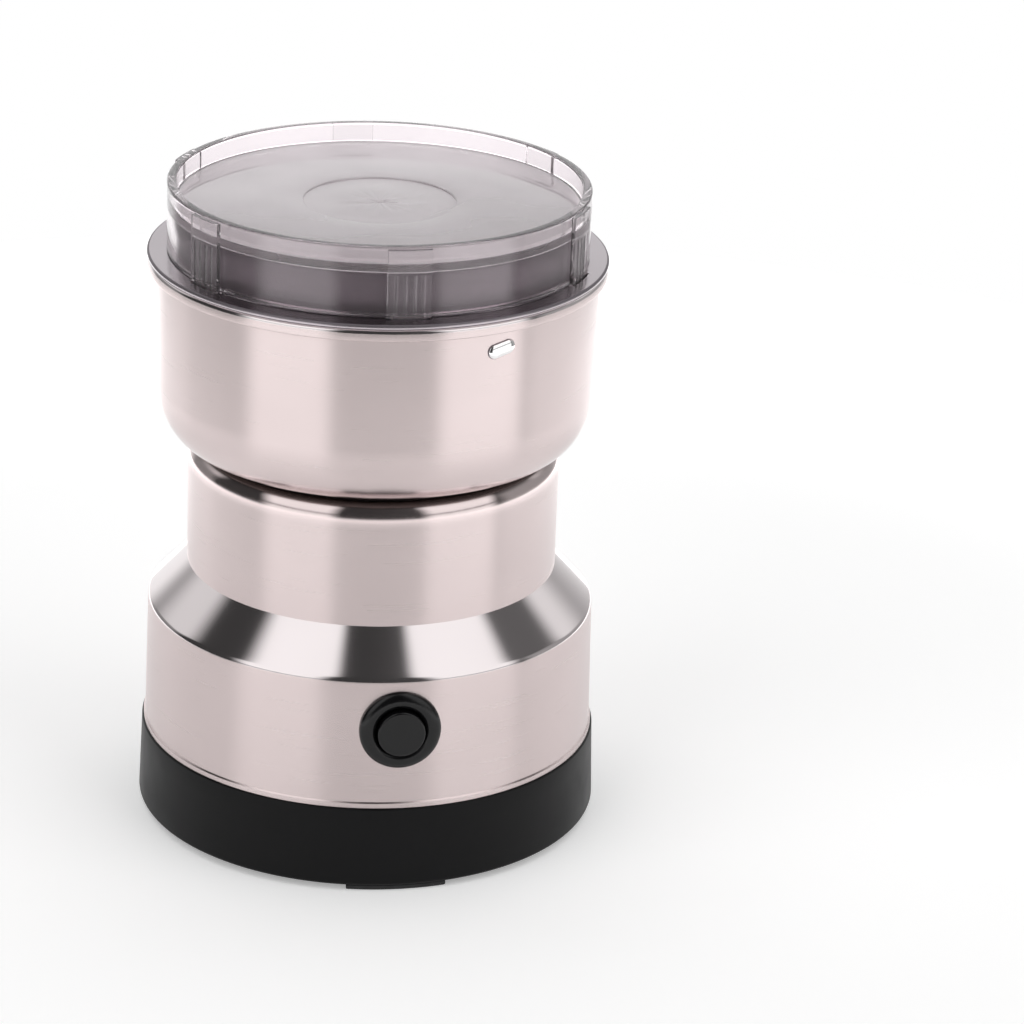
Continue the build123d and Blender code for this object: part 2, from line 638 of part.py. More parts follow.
with BuildPart() as grinding_bowl:
    with BuildSketch(Plane.XZ):
        flat = BOWL_RADIUS - BOWL_CORNER
        corner_height = BOWL_FLOOR + BOWL_CORNER
        outer_wall = BOWL_RADIUS + SHEET
        hem = COLLAR_RADIUS - outer_wall
        roll_start = FLANGE_RADIUS - FLANGE_ROUND
        flange_edge = FLANGE_TOP - FLANGE_FALL
        with BuildLine():
            Line((HUB_RADIUS, BOWL_FLOOR), (flat, BOWL_FLOOR))
            CenterArc((flat, corner_height), BOWL_CORNER, 270, 90)
            Line((BOWL_RADIUS, corner_height), (BOWL_RADIUS, COLLAR_TOP - hem))
            CenterArc((outer_wall, COLLAR_TOP - hem), hem, 180, -180)
            Line((COLLAR_RADIUS, COLLAR_TOP - hem), (COLLAR_RADIUS, FLANGE_TOP + COLLAR_ROOT))
            CenterArc((COLLAR_RADIUS + COLLAR_ROOT, FLANGE_TOP + COLLAR_ROOT), COLLAR_ROOT, 180, 90)
            Line((COLLAR_RADIUS + COLLAR_ROOT, FLANGE_TOP), (roll_start, flange_edge))
            CenterArc((roll_start, flange_edge - FLANGE_ROUND), FLANGE_ROUND, 90, -90)
            Line((FLANGE_RADIUS, flange_edge - FLANGE_ROUND), (FLANGE_RADIUS, SEAM + LIP_ROUND))
            Line((FLANGE_RADIUS, SEAM + LIP_ROUND), (FLANGE_RADIUS - LIP_ROUND, SEAM))
            Line((FLANGE_RADIUS - LIP_ROUND, SEAM), (HEM_INNER, SEAM))
            Line((HEM_INNER, SEAM), (HEM_INNER, FLANGE_UNDER))
            Line((HEM_INNER, FLANGE_UNDER), (outer_wall, FLANGE_UNDER))
            Line((outer_wall, FLANGE_UNDER), (outer_wall, corner_height))
            CenterArc((flat, corner_height), BOWL_CORNER + SHEET, 0, -90)
            Line((flat, BOWL_FLOOR - SHEET), (HUB_RADIUS, BOWL_FLOOR - SHEET))
            Line((HUB_RADIUS, BOWL_FLOOR - SHEET), (HUB_RADIUS, BOWL_FLOOR))
        make_face()
    revolve(axis=Axis.Z)
    with BuildSketch(Plane.XY.offset(FLANGE_TOP)):
        for channel in range(CHANNELS):
            ring_sector(SLOT_INNER, SLOT_OUTER, FRONT + channel * 360 / CHANNELS, SLOT_HALF)
    extrude(amount=-2 * SHEET, mode=Mode.SUBTRACT)
grinding_bowl.part.label = "grinding_bowl"
export_step(grinding_bowl.part, "parts/grinding_bowl.step")

# Ribbed ring that carries the bowl inside the cup, with an arm for the interlock switch.
SUPPORT_TOP = BOWL_FLOOR - SHEET
SUPPORT_BOTTOM = CUP_BOTTOM + SHEET
SUPPORT_INNER = 17.0
SUPPORT_OUTER = 35.0
SUPPORT_WALL = 2.0
SUPPORT_BOSS_RADIUS = 3.8
SUPPORT_RIBS = 8
RIB_THICKNESS = 1.6
SUPPORT_SCREW_RADIUS = 1.7
SUPPORT_HOLE_DEPTH = 7.0
SUPPORT_HEAD_RADIUS = 3.4
SUPPORT_HEAD_HEIGHT = 2.0
SUPPORT_SCREW_LENGTH = 11.0
ARM_REACH = 44.5
ARM_TOP = 96.0
ARM_THICKNESS = 2.0
ARM_BREADTH = 12.0

with BuildPart() as bowl_support:
    with BuildSketch(Plane.XZ):
        half_section(
            (SUPPORT_INNER, SUPPORT_BOTTOM),
            (SUPPORT_INNER + SUPPORT_WALL, SUPPORT_BOTTOM),
            (SUPPORT_INNER + SUPPORT_WALL, SUPPORT_TOP - SUPPORT_WALL),
            (SUPPORT_OUTER - SUPPORT_WALL, SUPPORT_TOP - SUPPORT_WALL),
            (SUPPORT_OUTER - SUPPORT_WALL, SUPPORT_BOTTOM),
            (SUPPORT_OUTER, SUPPORT_BOTTOM),
            (SUPPORT_OUTER, SUPPORT_TOP),
            (SUPPORT_INNER, SUPPORT_TOP),
        )
    revolve(axis=Axis.Z)
    with BuildSketch(Plane.XY.offset(SUPPORT_BOTTOM)):
        with PolarLocations(SUPPORT_SCREW_CIRCLE, 4, start_angle=SUPPORT_START):
            Circle(SUPPORT_BOSS_RADIUS)
        with PolarLocations((SUPPORT_INNER + SUPPORT_OUTER) / 2, SUPPORT_RIBS):
            Rectangle(SUPPORT_OUTER - SUPPORT_INNER - SUPPORT_WALL, RIB_THICKNESS)
    extrude(amount=SUPPORT_TOP - SUPPORT_BOTTOM - SUPPORT_WALL / 2)
    with BuildSketch(Plane.XY.offset(ARM_TOP - ARM_THICKNESS)):
        with Locations((0, -(SUPPORT_OUTER - SUPPORT_WALL / 2 + ARM_REACH) / 2)):
            Rectangle(ARM_BREADTH, ARM_REACH - SUPPORT_OUTER + SUPPORT_WALL / 2)
    extrude(amount=ARM_THICKNESS)
    with Locations(Plane(origin=(0, 0, SUPPORT_BOTTOM), x_dir=(1, 0, 0), z_dir=(0, 0, -1))):
        with PolarLocations(SUPPORT_SCREW_CIRCLE, 4, start_angle=-SUPPORT_START):
            Hole(SUPPORT_SCREW_RADIUS, depth=SUPPORT_HOLE_DEPTH)
bowl_support.part.label = "bowl_support"
export_step(bowl_support.part, "parts/bowl_support.step")

with BuildPart() as support_screws:
    with BuildSketch(Plane.XY.offset(DECK_BOTTOM)):
        with PolarLocations(SUPPORT_SCREW_CIRCLE, 4, start_angle=SUPPORT_START):
            Circle(SUPPORT_HEAD_RADIUS)
    extrude(amount=-SUPPORT_HEAD_HEIGHT)
    fillet(support_screws.edges().group_by(Axis.Z)[0], radius=SCREW_HEAD_ROUND)
    with BuildSketch(Plane.XY.offset(DECK_BOTTOM)):
        with PolarLocations(SUPPORT_SCREW_CIRCLE, 4, start_angle=SUPPORT_START):
            Circle(SUPPORT_SCREW_RADIUS)
    extrude(amount=SUPPORT_SCREW_LENGTH)
support_screws.part.label = "support_screws"
export_step(support_screws.part, "parts/support_screws.step")

# Flanged housing through the bowl's floor, which holds the lip seal round the shaft.
HOUSING_FLANGE_RADIUS = 12.5
HOUSING_TOP = BOWL_FLOOR + 1.4
HOUSING_BOTTOM = 92.5
SEAL_RADIUS = 7.2
SEAL_BOTTOM = 95.5
SEAL_TOP = 100.9
HOUSING_BORE = SHAFT_RADIUS + 0.6
SEAL_NUT_RADIUS = 14.0
SEAL_NUT_THICKNESS = 4.0

with BuildPart() as seal_housing:
    with BuildSketch(Plane.XZ):
        half_section(
            (HOUSING_BORE, HOUSING_BOTTOM),
            (HUB_RADIUS, HOUSING_BOTTOM),
            (HUB_RADIUS, BOWL_FLOOR),
            (HOUSING_FLANGE_RADIUS, BOWL_FLOOR),
            (HOUSING_FLANGE_RADIUS, HOUSING_TOP - 0.5),
            (HOUSING_FLANGE_RADIUS - 0.5, HOUSING_TOP),
            (SEAL_RADIUS, HOUSING_TOP),
            (SEAL_RADIUS, SEAL_BOTTOM),
            (HOUSING_BORE, SEAL_BOTTOM),
        )
    revolve(axis=Axis.Z)
seal_housing.part.label = "seal_housing"
export_step(seal_housing.part, "parts/seal_housing.step")

with BuildPart() as seal_nut:
    with BuildSketch(Plane.XY.offset(SUPPORT_TOP)):
        RegularPolygon(SEAL_NUT_RADIUS, 6)
        Circle(HUB_RADIUS, mode=Mode.SUBTRACT)
    extrude(amount=-SEAL_NUT_THICKNESS)
seal_nut.part.label = "seal_nut"
export_step(seal_nut.part, "parts/seal_nut.step")

with BuildPart() as shaft_seal:
    with BuildSketch(Plane.XZ):
        half_section(
            (SHAFT_RADIUS + FIT, SEAL_BOTTOM),
            (SEAL_RADIUS, SEAL_BOTTOM),
            (SEAL_RADIUS, SEAL_TOP),
            (SEAL_RADIUS - 1.0, SEAL_TOP),
            (SHAFT_RADIUS + 1.2, SEAL_TOP - 2.0),
            (SHAFT_RADIUS + FIT, SEAL_TOP - 0.6),
        )
    revolve(axis=Axis.Z)
shaft_seal.part.label = "shaft_seal"
export_step(shaft_seal.part, "parts/shaft_seal.step")


# ---------------------------------------------------------------- lid
LID_SKIRT_RADIUS = LID_RADIUS - LID_WALL
CENTRE_STEP_RADIUS = 17.3
CENTRE_STEP = 0.4
LUG_HALF = 4.6
LUG_INNER = 45.45
LUG_OUTER = 47.75
CHANNEL_TOP = LID_RIM - 0.5
FLUTE_RADIUS = 0.45
FLUTE_CIRCLE = CHANNEL_RADIUS + 0.15
FLUTE_PITCH = 2.4           # degrees
FLUTES = 4

with BuildPart() as lid_cover:
    with BuildSketch(Plane.XZ):
        half_section(
            (0, LID_DISC_BOTTOM),
            (LID_SKIRT_RADIUS, LID_DISC_BOTTOM),
            (LID_SKIRT_RADIUS, LID_BOTTOM),
            (LID_RADIUS, LID_BOTTOM),
            (LID_RADIUS, LID_RIM),
            (LID_SKIRT_RADIUS, LID_RIM),
            (LID_SKIRT_RADIUS, LID_DISC_TOP),
            (CENTRE_STEP_RADIUS, LID_DISC_TOP),
            (CENTRE_STEP_RADIUS - CENTRE_STEP, LID_DISC_TOP - CENTRE_STEP),
            (0, LID_DISC_TOP - CENTRE_STEP),
        )
    revolve(axis=Axis.Z)
    fillet(lid_cover.edges().filter_by(GeomType.CIRCLE).group_by(Axis.Z)[-1], radius=0.5)
    with BuildSketch(Plane.XY.offset(LID_BOTTOM)):
        for channel in range(CHANNELS):
            ring_sector(LID_RADIUS - 0.5, CHANNEL_RADIUS, FRONT + channel * 360 / CHANNELS, CHANNEL_HALF)
    extrude(amount=CHANNEL_TOP - LID_BOTTOM)
    with BuildSketch(Plane.XY.offset(LID_BOTTOM)):
        for channel in range(CHANNELS):
            ring_sector(LUG_INNER, LUG_OUTER, FRONT + channel * 360 / CHANNELS, LUG_HALF)
    extrude(amount=-LUG_DROP)
    with BuildSketch(Plane.XY.offset(LID_BOTTOM)):
        for channel in range(CHANNELS):
            for flute in range(FLUTES):
                turn = FRONT + channel * 360 / CHANNELS + (flute - (FLUTES - 1) / 2) * FLUTE_PITCH
                with Locations(around(FLUTE_CIRCLE, turn)):
                    Circle(FLUTE_RADIUS)
    extrude(amount=LID_DISC_BOTTOM - LID_BOTTOM, mode=Mode.SUBTRACT)
lid_cover.part.label = "lid_cover"
export_step(lid_cover.part, "parts/lid_cover.step")


# ---------------------------------------------------------------- interlock under the rim
# The lid's front lug holds down a sprung pin, which reaches a small switch on the bowl support's arm.
PIN_Y = -46.7
PIN_RADIUS = 1.0
PIN_TOP = 131.85
PIN_FOOT_TOP = 105.4
PIN_FOOT_BOTTOM = 104.0
PIN_COLLAR_RADIUS = 1.5
CHAMBER_BOTTOM = 116.0
CHAMBER_TOP = 127.6
PIN_COLLAR_TOP = 126.0
PIN_COLLAR_HEIGHT = 1.6
POCKET_FLOOR = 131.2
POCKET_INNER = 44.1
POCKET_OUTER = 48.75
POCKET_SIDE = 1.3           # degrees of wall each side of the lug's slot
GUIDE_BOTTOM = 110.0
GUIDE_Y = -46.3
GUIDE_SIZE = (8.0, 4.1)
PIN_FOOT_Y = -45.8
PIN_FOOT_SIZE = (2.4, 3.8)
MICROSWITCH_Y = -43.8
MICROSWITCH_SIZE = (12.4, 5.0, 6.3)
MICROSWITCH_BUTTON_Y = -44.6
MICROSWITCH_BUTTON_RADIUS = 0.8

with BuildPart() as interlock_guide:
    with BuildSketch(Plane.XY.offset(GUIDE_BOTTOM)):
        with Locations((0, GUIDE_Y)):
            Rectangle(*GUIDE_SIZE)
    extrude(amount=POCKET_FLOOR - GUIDE_BOTTOM)
    with BuildSketch(Plane.XY.offset(POCKET_FLOOR)):
        ring_sector(POCKET_INNER, POCKET_OUTER, FRONT, SLOT_HALF + POCKET_SIDE)
        ring_sector(SLOT_INNER, SLOT_OUTER, FRONT, SLOT_HALF, mode=Mode.SUBTRACT)
    extrude(amount=FLANGE_UNDER - POCKET_FLOOR)
    with BuildSketch(Plane.XY.offset(GUIDE_BOTTOM)):
        with Locations((0, PIN_Y)):
            Circle(PIN_RADIUS + FIT)
    extrude(amount=POCKET_FLOOR - GUIDE_BOTTOM, mode=Mode.SUBTRACT)
    with BuildSketch(Plane.XY.offset(CHAMBER_BOTTOM)):
        with Locations((0, PIN_Y)):
            Circle(PIN_COLLAR_RADIUS + 0.1)
    extrude(amount=CHAMBER_TOP - CHAMBER_BOTTOM, mode=Mode.SUBTRACT)
interlock_guide.part.label = "interlock_guide"
export_step(interlock_guide.part, "parts/interlock_guide.step")

with BuildPart() as interlock_pin:
    with BuildSketch(Plane.XY.offset(PIN_FOOT_BOTTOM)):
        with Locations((0, PIN_FOOT_Y)):
            RectangleRounded(*PIN_FOOT_SIZE, radius=0.5)
    extrude(amount=PIN_FOOT_TOP - PIN_FOOT_BOTTOM)
    with BuildSketch(Plane.XY.offset(PIN_FOOT_TOP)):
        with Locations((0, PIN_Y)):
            Circle(PIN_RADIUS)
    extrude(amount=PIN_TOP - PIN_FOOT_TOP)
    fillet(interlock_pin.edges().group_by(Axis.Z)[-1], radius=0.5)
    with BuildSketch(Plane.XY.offset(PIN_COLLAR_TOP)):
        with Locations((0, PIN_Y)):
            Circle(PIN_COLLAR_RADIUS)
    extrude(amount=-PIN_COLLAR_HEIGHT)
interlock_pin.part.label = "interlock_pin"
export_step(interlock_pin.part, "parts/interlock_pin.step")

with BuildPart() as interlock_spring:
    add(
        coil_spring(
            start=(0, PIN_Y, CHAMBER_BOTTOM),
            direction=(0, 0, 1),
            length=PIN_COLLAR_TOP - PIN_COLLAR_HEIGHT - CHAMBER_BOTTOM,
            radius=1.33,
            wire=0.35,
            turns=5,
        )
    )
interlock_spring.part.label = "interlock_spring"
export_step(interlock_spring.part, "parts/interlock_spring.step")

with BuildPart() as interlock_switch:
    with Locations((0, MICROSWITCH_Y, ARM_TOP)):
        Box(*MICROSWITCH_SIZE, align=(Align.CENTER, Align.CENTER, Align.MIN))
    fillet(interlock_switch.edges().filter_by(Axis.Z), radius=0.5)
    microswitch_top = ARM_TOP + MICROSWITCH_SIZE[2]
    with BuildSketch(Plane.XY.offset(microswitch_top)):
        with Locations((0, MICROSWITCH_BUTTON_Y)):
            Circle(MICROSWITCH_BUTTON_RADIUS)
    extrude(amount=PIN_FOOT_BOTTOM - microswitch_top - 0.1)
interlock_switch.part.label = "interlock_switch"
export_step(interlock_switch.part, "parts/interlock_switch.step")


# ---------------------------------------------------------------- motor, fixed parts
BOLT_RADIUS = 1.9
BOLT_START = 45
BOLT_HEAD_RADIUS = 3.8
BOLT_HEAD_HEIGHT = 2.2
BOLT_NUT_HEIGHT = 2.6
BOLT_END = 4.0              # length of bolt below the lower bracket
COLUMN_RADIUS = 3.6
SHOE_HALF = 62              # half of a pole shoe, degrees
POLE_NECK_HALF = 22
YOKE_INNER = 20.3
POLE_FACE = 13.9
POLE_SHOE = 16.4
POLES = [FRONT, BACK]
LOWER_JOURNAL = 3.0
LOWER_BEARING_RADIUS = 9.5
LOWER_BEARING_BOTTOM = 16.5
LOWER_BEARING_TOP = 22.5
LOWER_HUB_TOP = 23.0
LOWER_ARM_BOTTOM = 18.0
LOWER_HUB_WALL = 3.0
ARM_ROOT = LOWER_BEARING_RADIUS + LOWER_HUB_WALL - 1.0
HOLDER_ARM_WIDTH = 8.0
HUB_FLOOR = 2.0
JOURNAL_HOLE = LOWER_JOURNAL + 1.0
UPPER_BEARING_RADIUS = 11.0
UPPER_BEARING_BOTTOM = 77.0
UPPER_BEARING_TOP = 84.0
PLATE_BOTTOM = 80.0
PLATE_TOP = 83.0
PLATE_RADIUS = 32.5
WINDOW_INNER = 16.0
WINDOW_OUTER = 21.5
WINDOW_HALF = 24
POST_NOTCH = 0.5
UPPER_HUB_WALL = 2.5
UPPER_HUB_ROOF = 1.4
BRUSH_HEIGHT = 31.0
HOLDER_BOTTOM = 25.6
HOLDER_WIDTH = 9.2
HOLDER_INNER = 12.8
HOLDER_OUTER = 29.0
BRUSH_BACK = 23.0
BRUSH_SIZE = (6.6, 8.2)
HOLDER_END = 1.0
COMMUTATOR_RADIUS = 10.5

with BuildPart() as stator_core:
    with BuildSketch(Plane.XY.offset(STACK_BOTTOM)):
        Circle(STATOR_RADIUS)
        Circle(YOKE_INNER, mode=Mode.SUBTRACT)
        for pole in POLES:
            ring_sector(POLE_FACE, POLE_SHOE, pole, SHOE_HALF)
            ring_sector(POLE_SHOE - 0.5, YOKE_INNER + 1, pole, POLE_NECK_HALF)
        with PolarLocations(BOLT_CIRCLE, 4, start_angle=BOLT_START):
            Circle(BOLT_RADIUS, mode=Mode.SUBTRACT)
    extrude(amount=STACK_TOP - STACK_BOTTOM)
stator_core.part.label = "stator_core"
export_step(stator_core.part, "parts/stator_core.step")

COIL_OVERHANG = 5.2
COIL_HALF = 58
COIL_ROUND = 1.2

with BuildPart() as field_coils:
    with BuildSketch(Plane.XY.offset(STACK_BOTTOM - COIL_OVERHANG)):
        for pole in POLES:
            ring_sector(POLE_SHOE + 0.1, YOKE_INNER, pole, COIL_HALF)
    extrude(amount=STACK_TOP - STACK_BOTTOM + 2 * COIL_OVERHANG)
    with BuildSketch(Plane.XY.offset(STACK_BOTTOM - 0.2)):
        for pole in POLES:
            ring_sector(POLE_SHOE - 1, YOKE_INNER + 1, pole, POLE_NECK_HALF + 1.5)
    extrude(amount=STACK_TOP - STACK_BOTTOM + 0.4, mode=Mode.SUBTRACT)
    coil_edges = field_coils.edges().group_by(Axis.Z)
    fillet(coil_edges[0] + coil_edges[-1], radius=COIL_ROUND)
field_coils.part.label = "field_coils"
export_step(field_coils.part, "parts/field_coils.step")

with BuildPart() as lower_bracket:
    with BuildSketch(Plane.XZ):
        half_section(
            (JOURNAL_HOLE, LOWER_BEARING_BOTTOM - HUB_FLOOR),
            (LOWER_BEARING_RADIUS + LOWER_HUB_WALL, LOWER_BEARING_BOTTOM - HUB_FLOOR),
            (LOWER_BEARING_RADIUS + LOWER_HUB_WALL, LOWER_HUB_TOP),
            (LOWER_BEARING_RADIUS, LOWER_HUB_TOP),
            (LOWER_BEARING_RADIUS, LOWER_BEARING_BOTTOM),
            (JOURNAL_HOLE, LOWER_BEARING_BOTTOM),
        )
    revolve(axis=Axis.Z)
    with BuildSketch(Plane.XY.offset(LOWER_ARM_BOTTOM)):
        with PolarLocations((ARM_ROOT + BOLT_CIRCLE) / 2, 4, start_angle=BOLT_START):
            Rectangle(BOLT_CIRCLE - ARM_ROOT, 2 * COLUMN_RADIUS)
        with PolarLocations((ARM_ROOT + HOLDER_OUTER) / 2, 2):
            Rectangle(HOLDER_OUTER - ARM_ROOT, HOLDER_ARM_WIDTH)
    extrude(amount=LOWER_HUB_TOP - LOWER_ARM_BOTTOM)
    with BuildSketch(Plane.XY.offset(LOWER_ARM_BOTTOM)):
        with PolarLocations(BOLT_CIRCLE, 4, start_angle=BOLT_START):
            Circle(COLUMN_RADIUS)
    extrude(amount=STACK_BOTTOM - LOWER_ARM_BOTTOM)
    with BuildSketch(Plane.XY.offset(LOWER_HUB_TOP)):
        with PolarLocations((HOLDER_OUTER + HOLDER_INNER + 2) / 2, 2):
            Rectangle(HOLDER_OUTER - HOLDER_INNER - 2, HOLDER_ARM_WIDTH)
    extrude(amount=HOLDER_BOTTOM - LOWER_HUB_TOP)
    with Locations((0, 0, STACK_BOTTOM)):
        with PolarLocations(BOLT_CIRCLE, 4, start_angle=BOLT_START):
            Hole(BOLT_RADIUS, depth=STACK_BOTTOM)
lower_bracket.part.label = "lower_bracket"
export_step(lower_bracket.part, "parts/lower_bracket.step")

with BuildPart() as upper_bracket:
    with BuildSketch(Plane.XY.offset(PLATE_BOTTOM)):
        Circle(PLATE_RADIUS)
        for window in range(4):
            ring_sector(WINDOW_INNER, WINDOW_OUTER, window * 90, WINDOW_HALF, mode=Mode.SUBTRACT)
        with PolarLocations(DAMPER_CIRCLE, 4):
            Circle(DAMPER_SCREW_RADIUS, mode=Mode.SUBTRACT)
        with PolarLocations(POST_CIRCLE, 4, start_angle=SCREW_START):
            Circle(POST_RADIUS + POST_NOTCH, mode=Mode.SUBTRACT)
    extrude(amount=PLATE_TOP - PLATE_BOTTOM)
    with BuildSketch(Plane.XZ):
        half_section(
            (UPPER_BEARING_RADIUS, UPPER_BEARING_BOTTOM),
            (UPPER_BEARING_RADIUS + UPPER_HUB_WALL, UPPER_BEARING_BOTTOM),
            (UPPER_BEARING_RADIUS + UPPER_HUB_WALL, UPPER_BEARING_TOP + UPPER_HUB_ROOF),
            (SHAFT_RADIUS + 2, UPPER_BEARING_TOP + UPPER_HUB_ROOF),
            (SHAFT_RADIUS + 2, UPPER_BEARING_TOP),
            (UPPER_BEARING_RADIUS, UPPER_BEARING_TOP),
        )
    revolve(axis=Axis.Z)
    with BuildSketch(Plane.XZ):
        half_section(
            (0, UPPER_BEARING_BOTTOM),
            (UPPER_BEARING_RADIUS, UPPER_BEARING_BOTTOM),
            (UPPER_BEARING_RADIUS, UPPER_BEARING_TOP),
            (0, UPPER_BEARING_TOP),
        )
    revolve(axis=Axis.Z, mode=Mode.SUBTRACT)
    with BuildSketch(Plane.XY.offset(STACK_TOP)):
        with PolarLocations(BOLT_CIRCLE, 4, start_angle=BOLT_START):
            Circle(COLUMN_RADIUS)
    extrude(amount=PLATE_TOP - STACK_TOP)
    with Locations((0, 0, PLATE_TOP)):
        with PolarLocations(BOLT_CIRCLE, 4, start_angle=BOLT_START):
            Hole(BOLT_RADIUS, depth=PLATE_TOP - STACK_TOP)
upper_bracket.part.label = "upper_bracket"
export_step(upper_bracket.part, "parts/upper_bracket.step")


def ball_bearing(bore, outer, bottom, top):
    """Shielded ball bearing: two races with a shallow groove over the shield on each face."""
    inner_race = bore + 0.3 * (outer - bore)
    outer_race = bore + 0.75 * (outer - bore)
    groove = 0.4
    with BuildPart() as bearing:
        with BuildSketch(Plane.XZ):
            half_section(
                (bore, bottom),
                (inner_race, bottom),
                (inner_race, bottom + groove),
                (outer_race, bottom + groove),
                (outer_race, bottom),
                (outer, bottom),
                (outer, top),
                (outer_race, top),
                (outer_race, top - groove),
                (inner_race, top - groove),
                (inner_race, top),
                (bore, top),
            )
        revolve(axis=Axis.Z)
    return bearing.part


with BuildPart() as lower_bearing:
    add(ball_bearing(LOWER_JOURNAL + FIT, LOWER_BEARING_RADIUS, LOWER_BEARING_BOTTOM, LOWER_BEARING_TOP))
lower_bearing.part.label = "lower_bearing"
export_step(lower_bearing.part, "parts/lower_bearing.step")

with BuildPart() as upper_bearing:
    add(ball_bearing(SHAFT_RADIUS + FIT, UPPER_BEARING_RADIUS, UPPER_BEARING_BOTTOM, UPPER_BEARING_TOP))
upper_bearing.part.label = "upper_bearing"
export_step(upper_bearing.part, "parts/upper_bearing.step")

with BuildPart() as brush_holders:
    for side in (0, 180):
        with BuildSketch(facing(side, HOLDER_INNER, BRUSH_HEIGHT)):
            Rectangle(HOLDER_WIDTH, 2 * (BRUSH_HEIGHT - HOLDER_BOTTOM))
            Rectangle(*BRUSH_SIZE, mode=Mode.SUBTRACT)
        extrude(amount=HOLDER_OUTER - HOLDER_INNER - HOLDER_END)
        with BuildSketch(facing(side, HOLDER_OUTER - HOLDER_END, BRUSH_HEIGHT)):
            Rectangle(HOLDER_WIDTH, 2 * (BRUSH_HEIGHT - HOLDER_BOTTOM))
        extrude(amount=HOLDER_END)
brush_holders.part.label = "brush_holders"
export_step(brush_holders.part, "parts/brush_holders.step")

with BuildPart() as carbon_brushes:
    for side in (0, 180):
        with BuildSketch(facing(side, BRUSH_BACK, BRUSH_HEIGHT)):
            Rectangle(*BRUSH_SIZE)
        extrude(amount=-(BRUSH_BACK - COMMUTATOR_RADIUS + 1))
    with BuildSketch(Plane.XY.offset(HOLDER_BOTTOM)):
        Circle(COMMUTATOR_RADIUS + 0.1)
    extrude(amount=2 * (BRUSH_HEIGHT - HOLDER_BOTTOM) + 1, mode=Mode.SUBTRACT)
carbon_brushes.part.label = "carbon_brushes"
export_step(carbon_brushes.part, "parts/carbon_brushes.step")

with BuildPart() as brush_springs:
    for side in (-1, 1):
        add(
            coil_spring(
                start=(side * BRUSH_BACK, 0, BRUSH_HEIGHT),
                direction=(side, 0, 0),
                length=HOLDER_OUTER - HOLDER_END - BRUSH_BACK,
                radius=2.4,
                wire=0.6,
                turns=3,
            )
        )
brush_springs.part.label = "brush_springs"
export_step(brush_springs.part, "parts/brush_springs.step")

with BuildPart() as motor_bolts:
    with BuildSketch(Plane.XY.offset(PLATE_TOP)):
        with PolarLocations(BOLT_CIRCLE, 4, start_angle=BOLT_START):
            RegularPolygon(BOLT_HEAD_RADIUS, 6)
    extrude(amount=BOLT_HEAD_HEIGHT)
    with BuildSketch(Plane.XY.offset(PLATE_TOP)):
        with PolarLocations(BOLT_CIRCLE, 4, start_angle=BOLT_START):
            Circle(BOLT_RADIUS)
    extrude(amount=-(PLATE_TOP - LOWER_ARM_BOTTOM + BOLT_END))
motor_bolts.part.label = "motor_bolts"
export_step(motor_bolts.part, "parts/motor_bolts.step")

with BuildPart() as motor_nuts:
    with BuildSketch(Plane.XY.offset(LOWER_ARM_BOTTOM)):
        with PolarLocations(BOLT_CIRCLE, 4, start_angle=BOLT_START):
            RegularPolygon(BOLT_HEAD_RADIUS, 6)
        with PolarLocations(BOLT_CIRCLE, 4, start_angle=BOLT_START):
            Circle(BOLT_RADIUS, mode=Mode.SUBTRACT)
    extrude(amount=-BOLT_NUT_HEIGHT)
motor_nuts.part.label = "motor_nuts"
export_step(motor_nuts.part, "parts/motor_nuts.step")

DAMPER_RADIUS = 4.4
DAMPER_HEAD_RADIUS = 3.0
DAMPER_HEAD_HEIGHT = 1.8

with BuildPart() as motor_dampers:
    with BuildSketch(Plane.XY.offset(PLATE_TOP)):
        with PolarLocations(DAMPER_CIRCLE, 4):
            Circle(DAMPER_RADIUS)
        with PolarLocations(DAMPER_CIRCLE, 4):
            Circle(DAMPER_SCREW_RADIUS, mode=Mode.SUBTRACT)
    extrude(amount=DECK_BOTTOM - PLATE_TOP)
motor_dampers.part.label = "motor_dampers"
export_step(motor_dampers.part, "parts/motor_dampers.step")

with BuildPart() as damper_screws:
    with BuildSketch(Plane.XY.offset(PLATE_BOTTOM)):
        with PolarLocations(DAMPER_CIRCLE, 4):
            Circle(DAMPER_HEAD_RADIUS)
    extrude(amount=-DAMPER_HEAD_HEIGHT)
    fillet(damper_screws.edges().group_by(Axis.Z)[0], radius=0.6)
    with BuildSketch(Plane.XY.offset(PLATE_BOTTOM)):
        with PolarLocations(DAMPER_CIRCLE, 4):
            Circle(DAMPER_SCREW_RADIUS)
    extrude(amount=DECK_TOP - PLATE_BOTTOM)
damper_screws.part.label = "damper_screws"
export_step(damper_screws.part, "parts/damper_screws.step")


# ---------------------------------------------------------------- rotor
SHAFT_BOTTOM = 13.0
SHAFT_STEP = LOWER_HUB_TOP + 0.5
SHAFT_SHOULDER = 101.8
SHAFT_TOP = 106.8
STUB_RADIUS = 3.5
SLOTS = 12
WINDING_RADIUS = 12.8
WINDING_HUB = 5.5
COMMUTATOR_BOTTOM = 26.0
COMMUTATOR_TOP = 36.5
FAN_BOTTOM = 69.0
FAN_TOP = 75.0
FAN_RADIUS = 19.5
FAN_BLADES = 11
FAN_HUB_RADIUS = 7.0
FAN_PLATE = 1.2
CORE_SLOT_WIDTH = 2.0
CORE_SLOT_ROOT = 8.0
WINDING_OVERHANG = 5.0

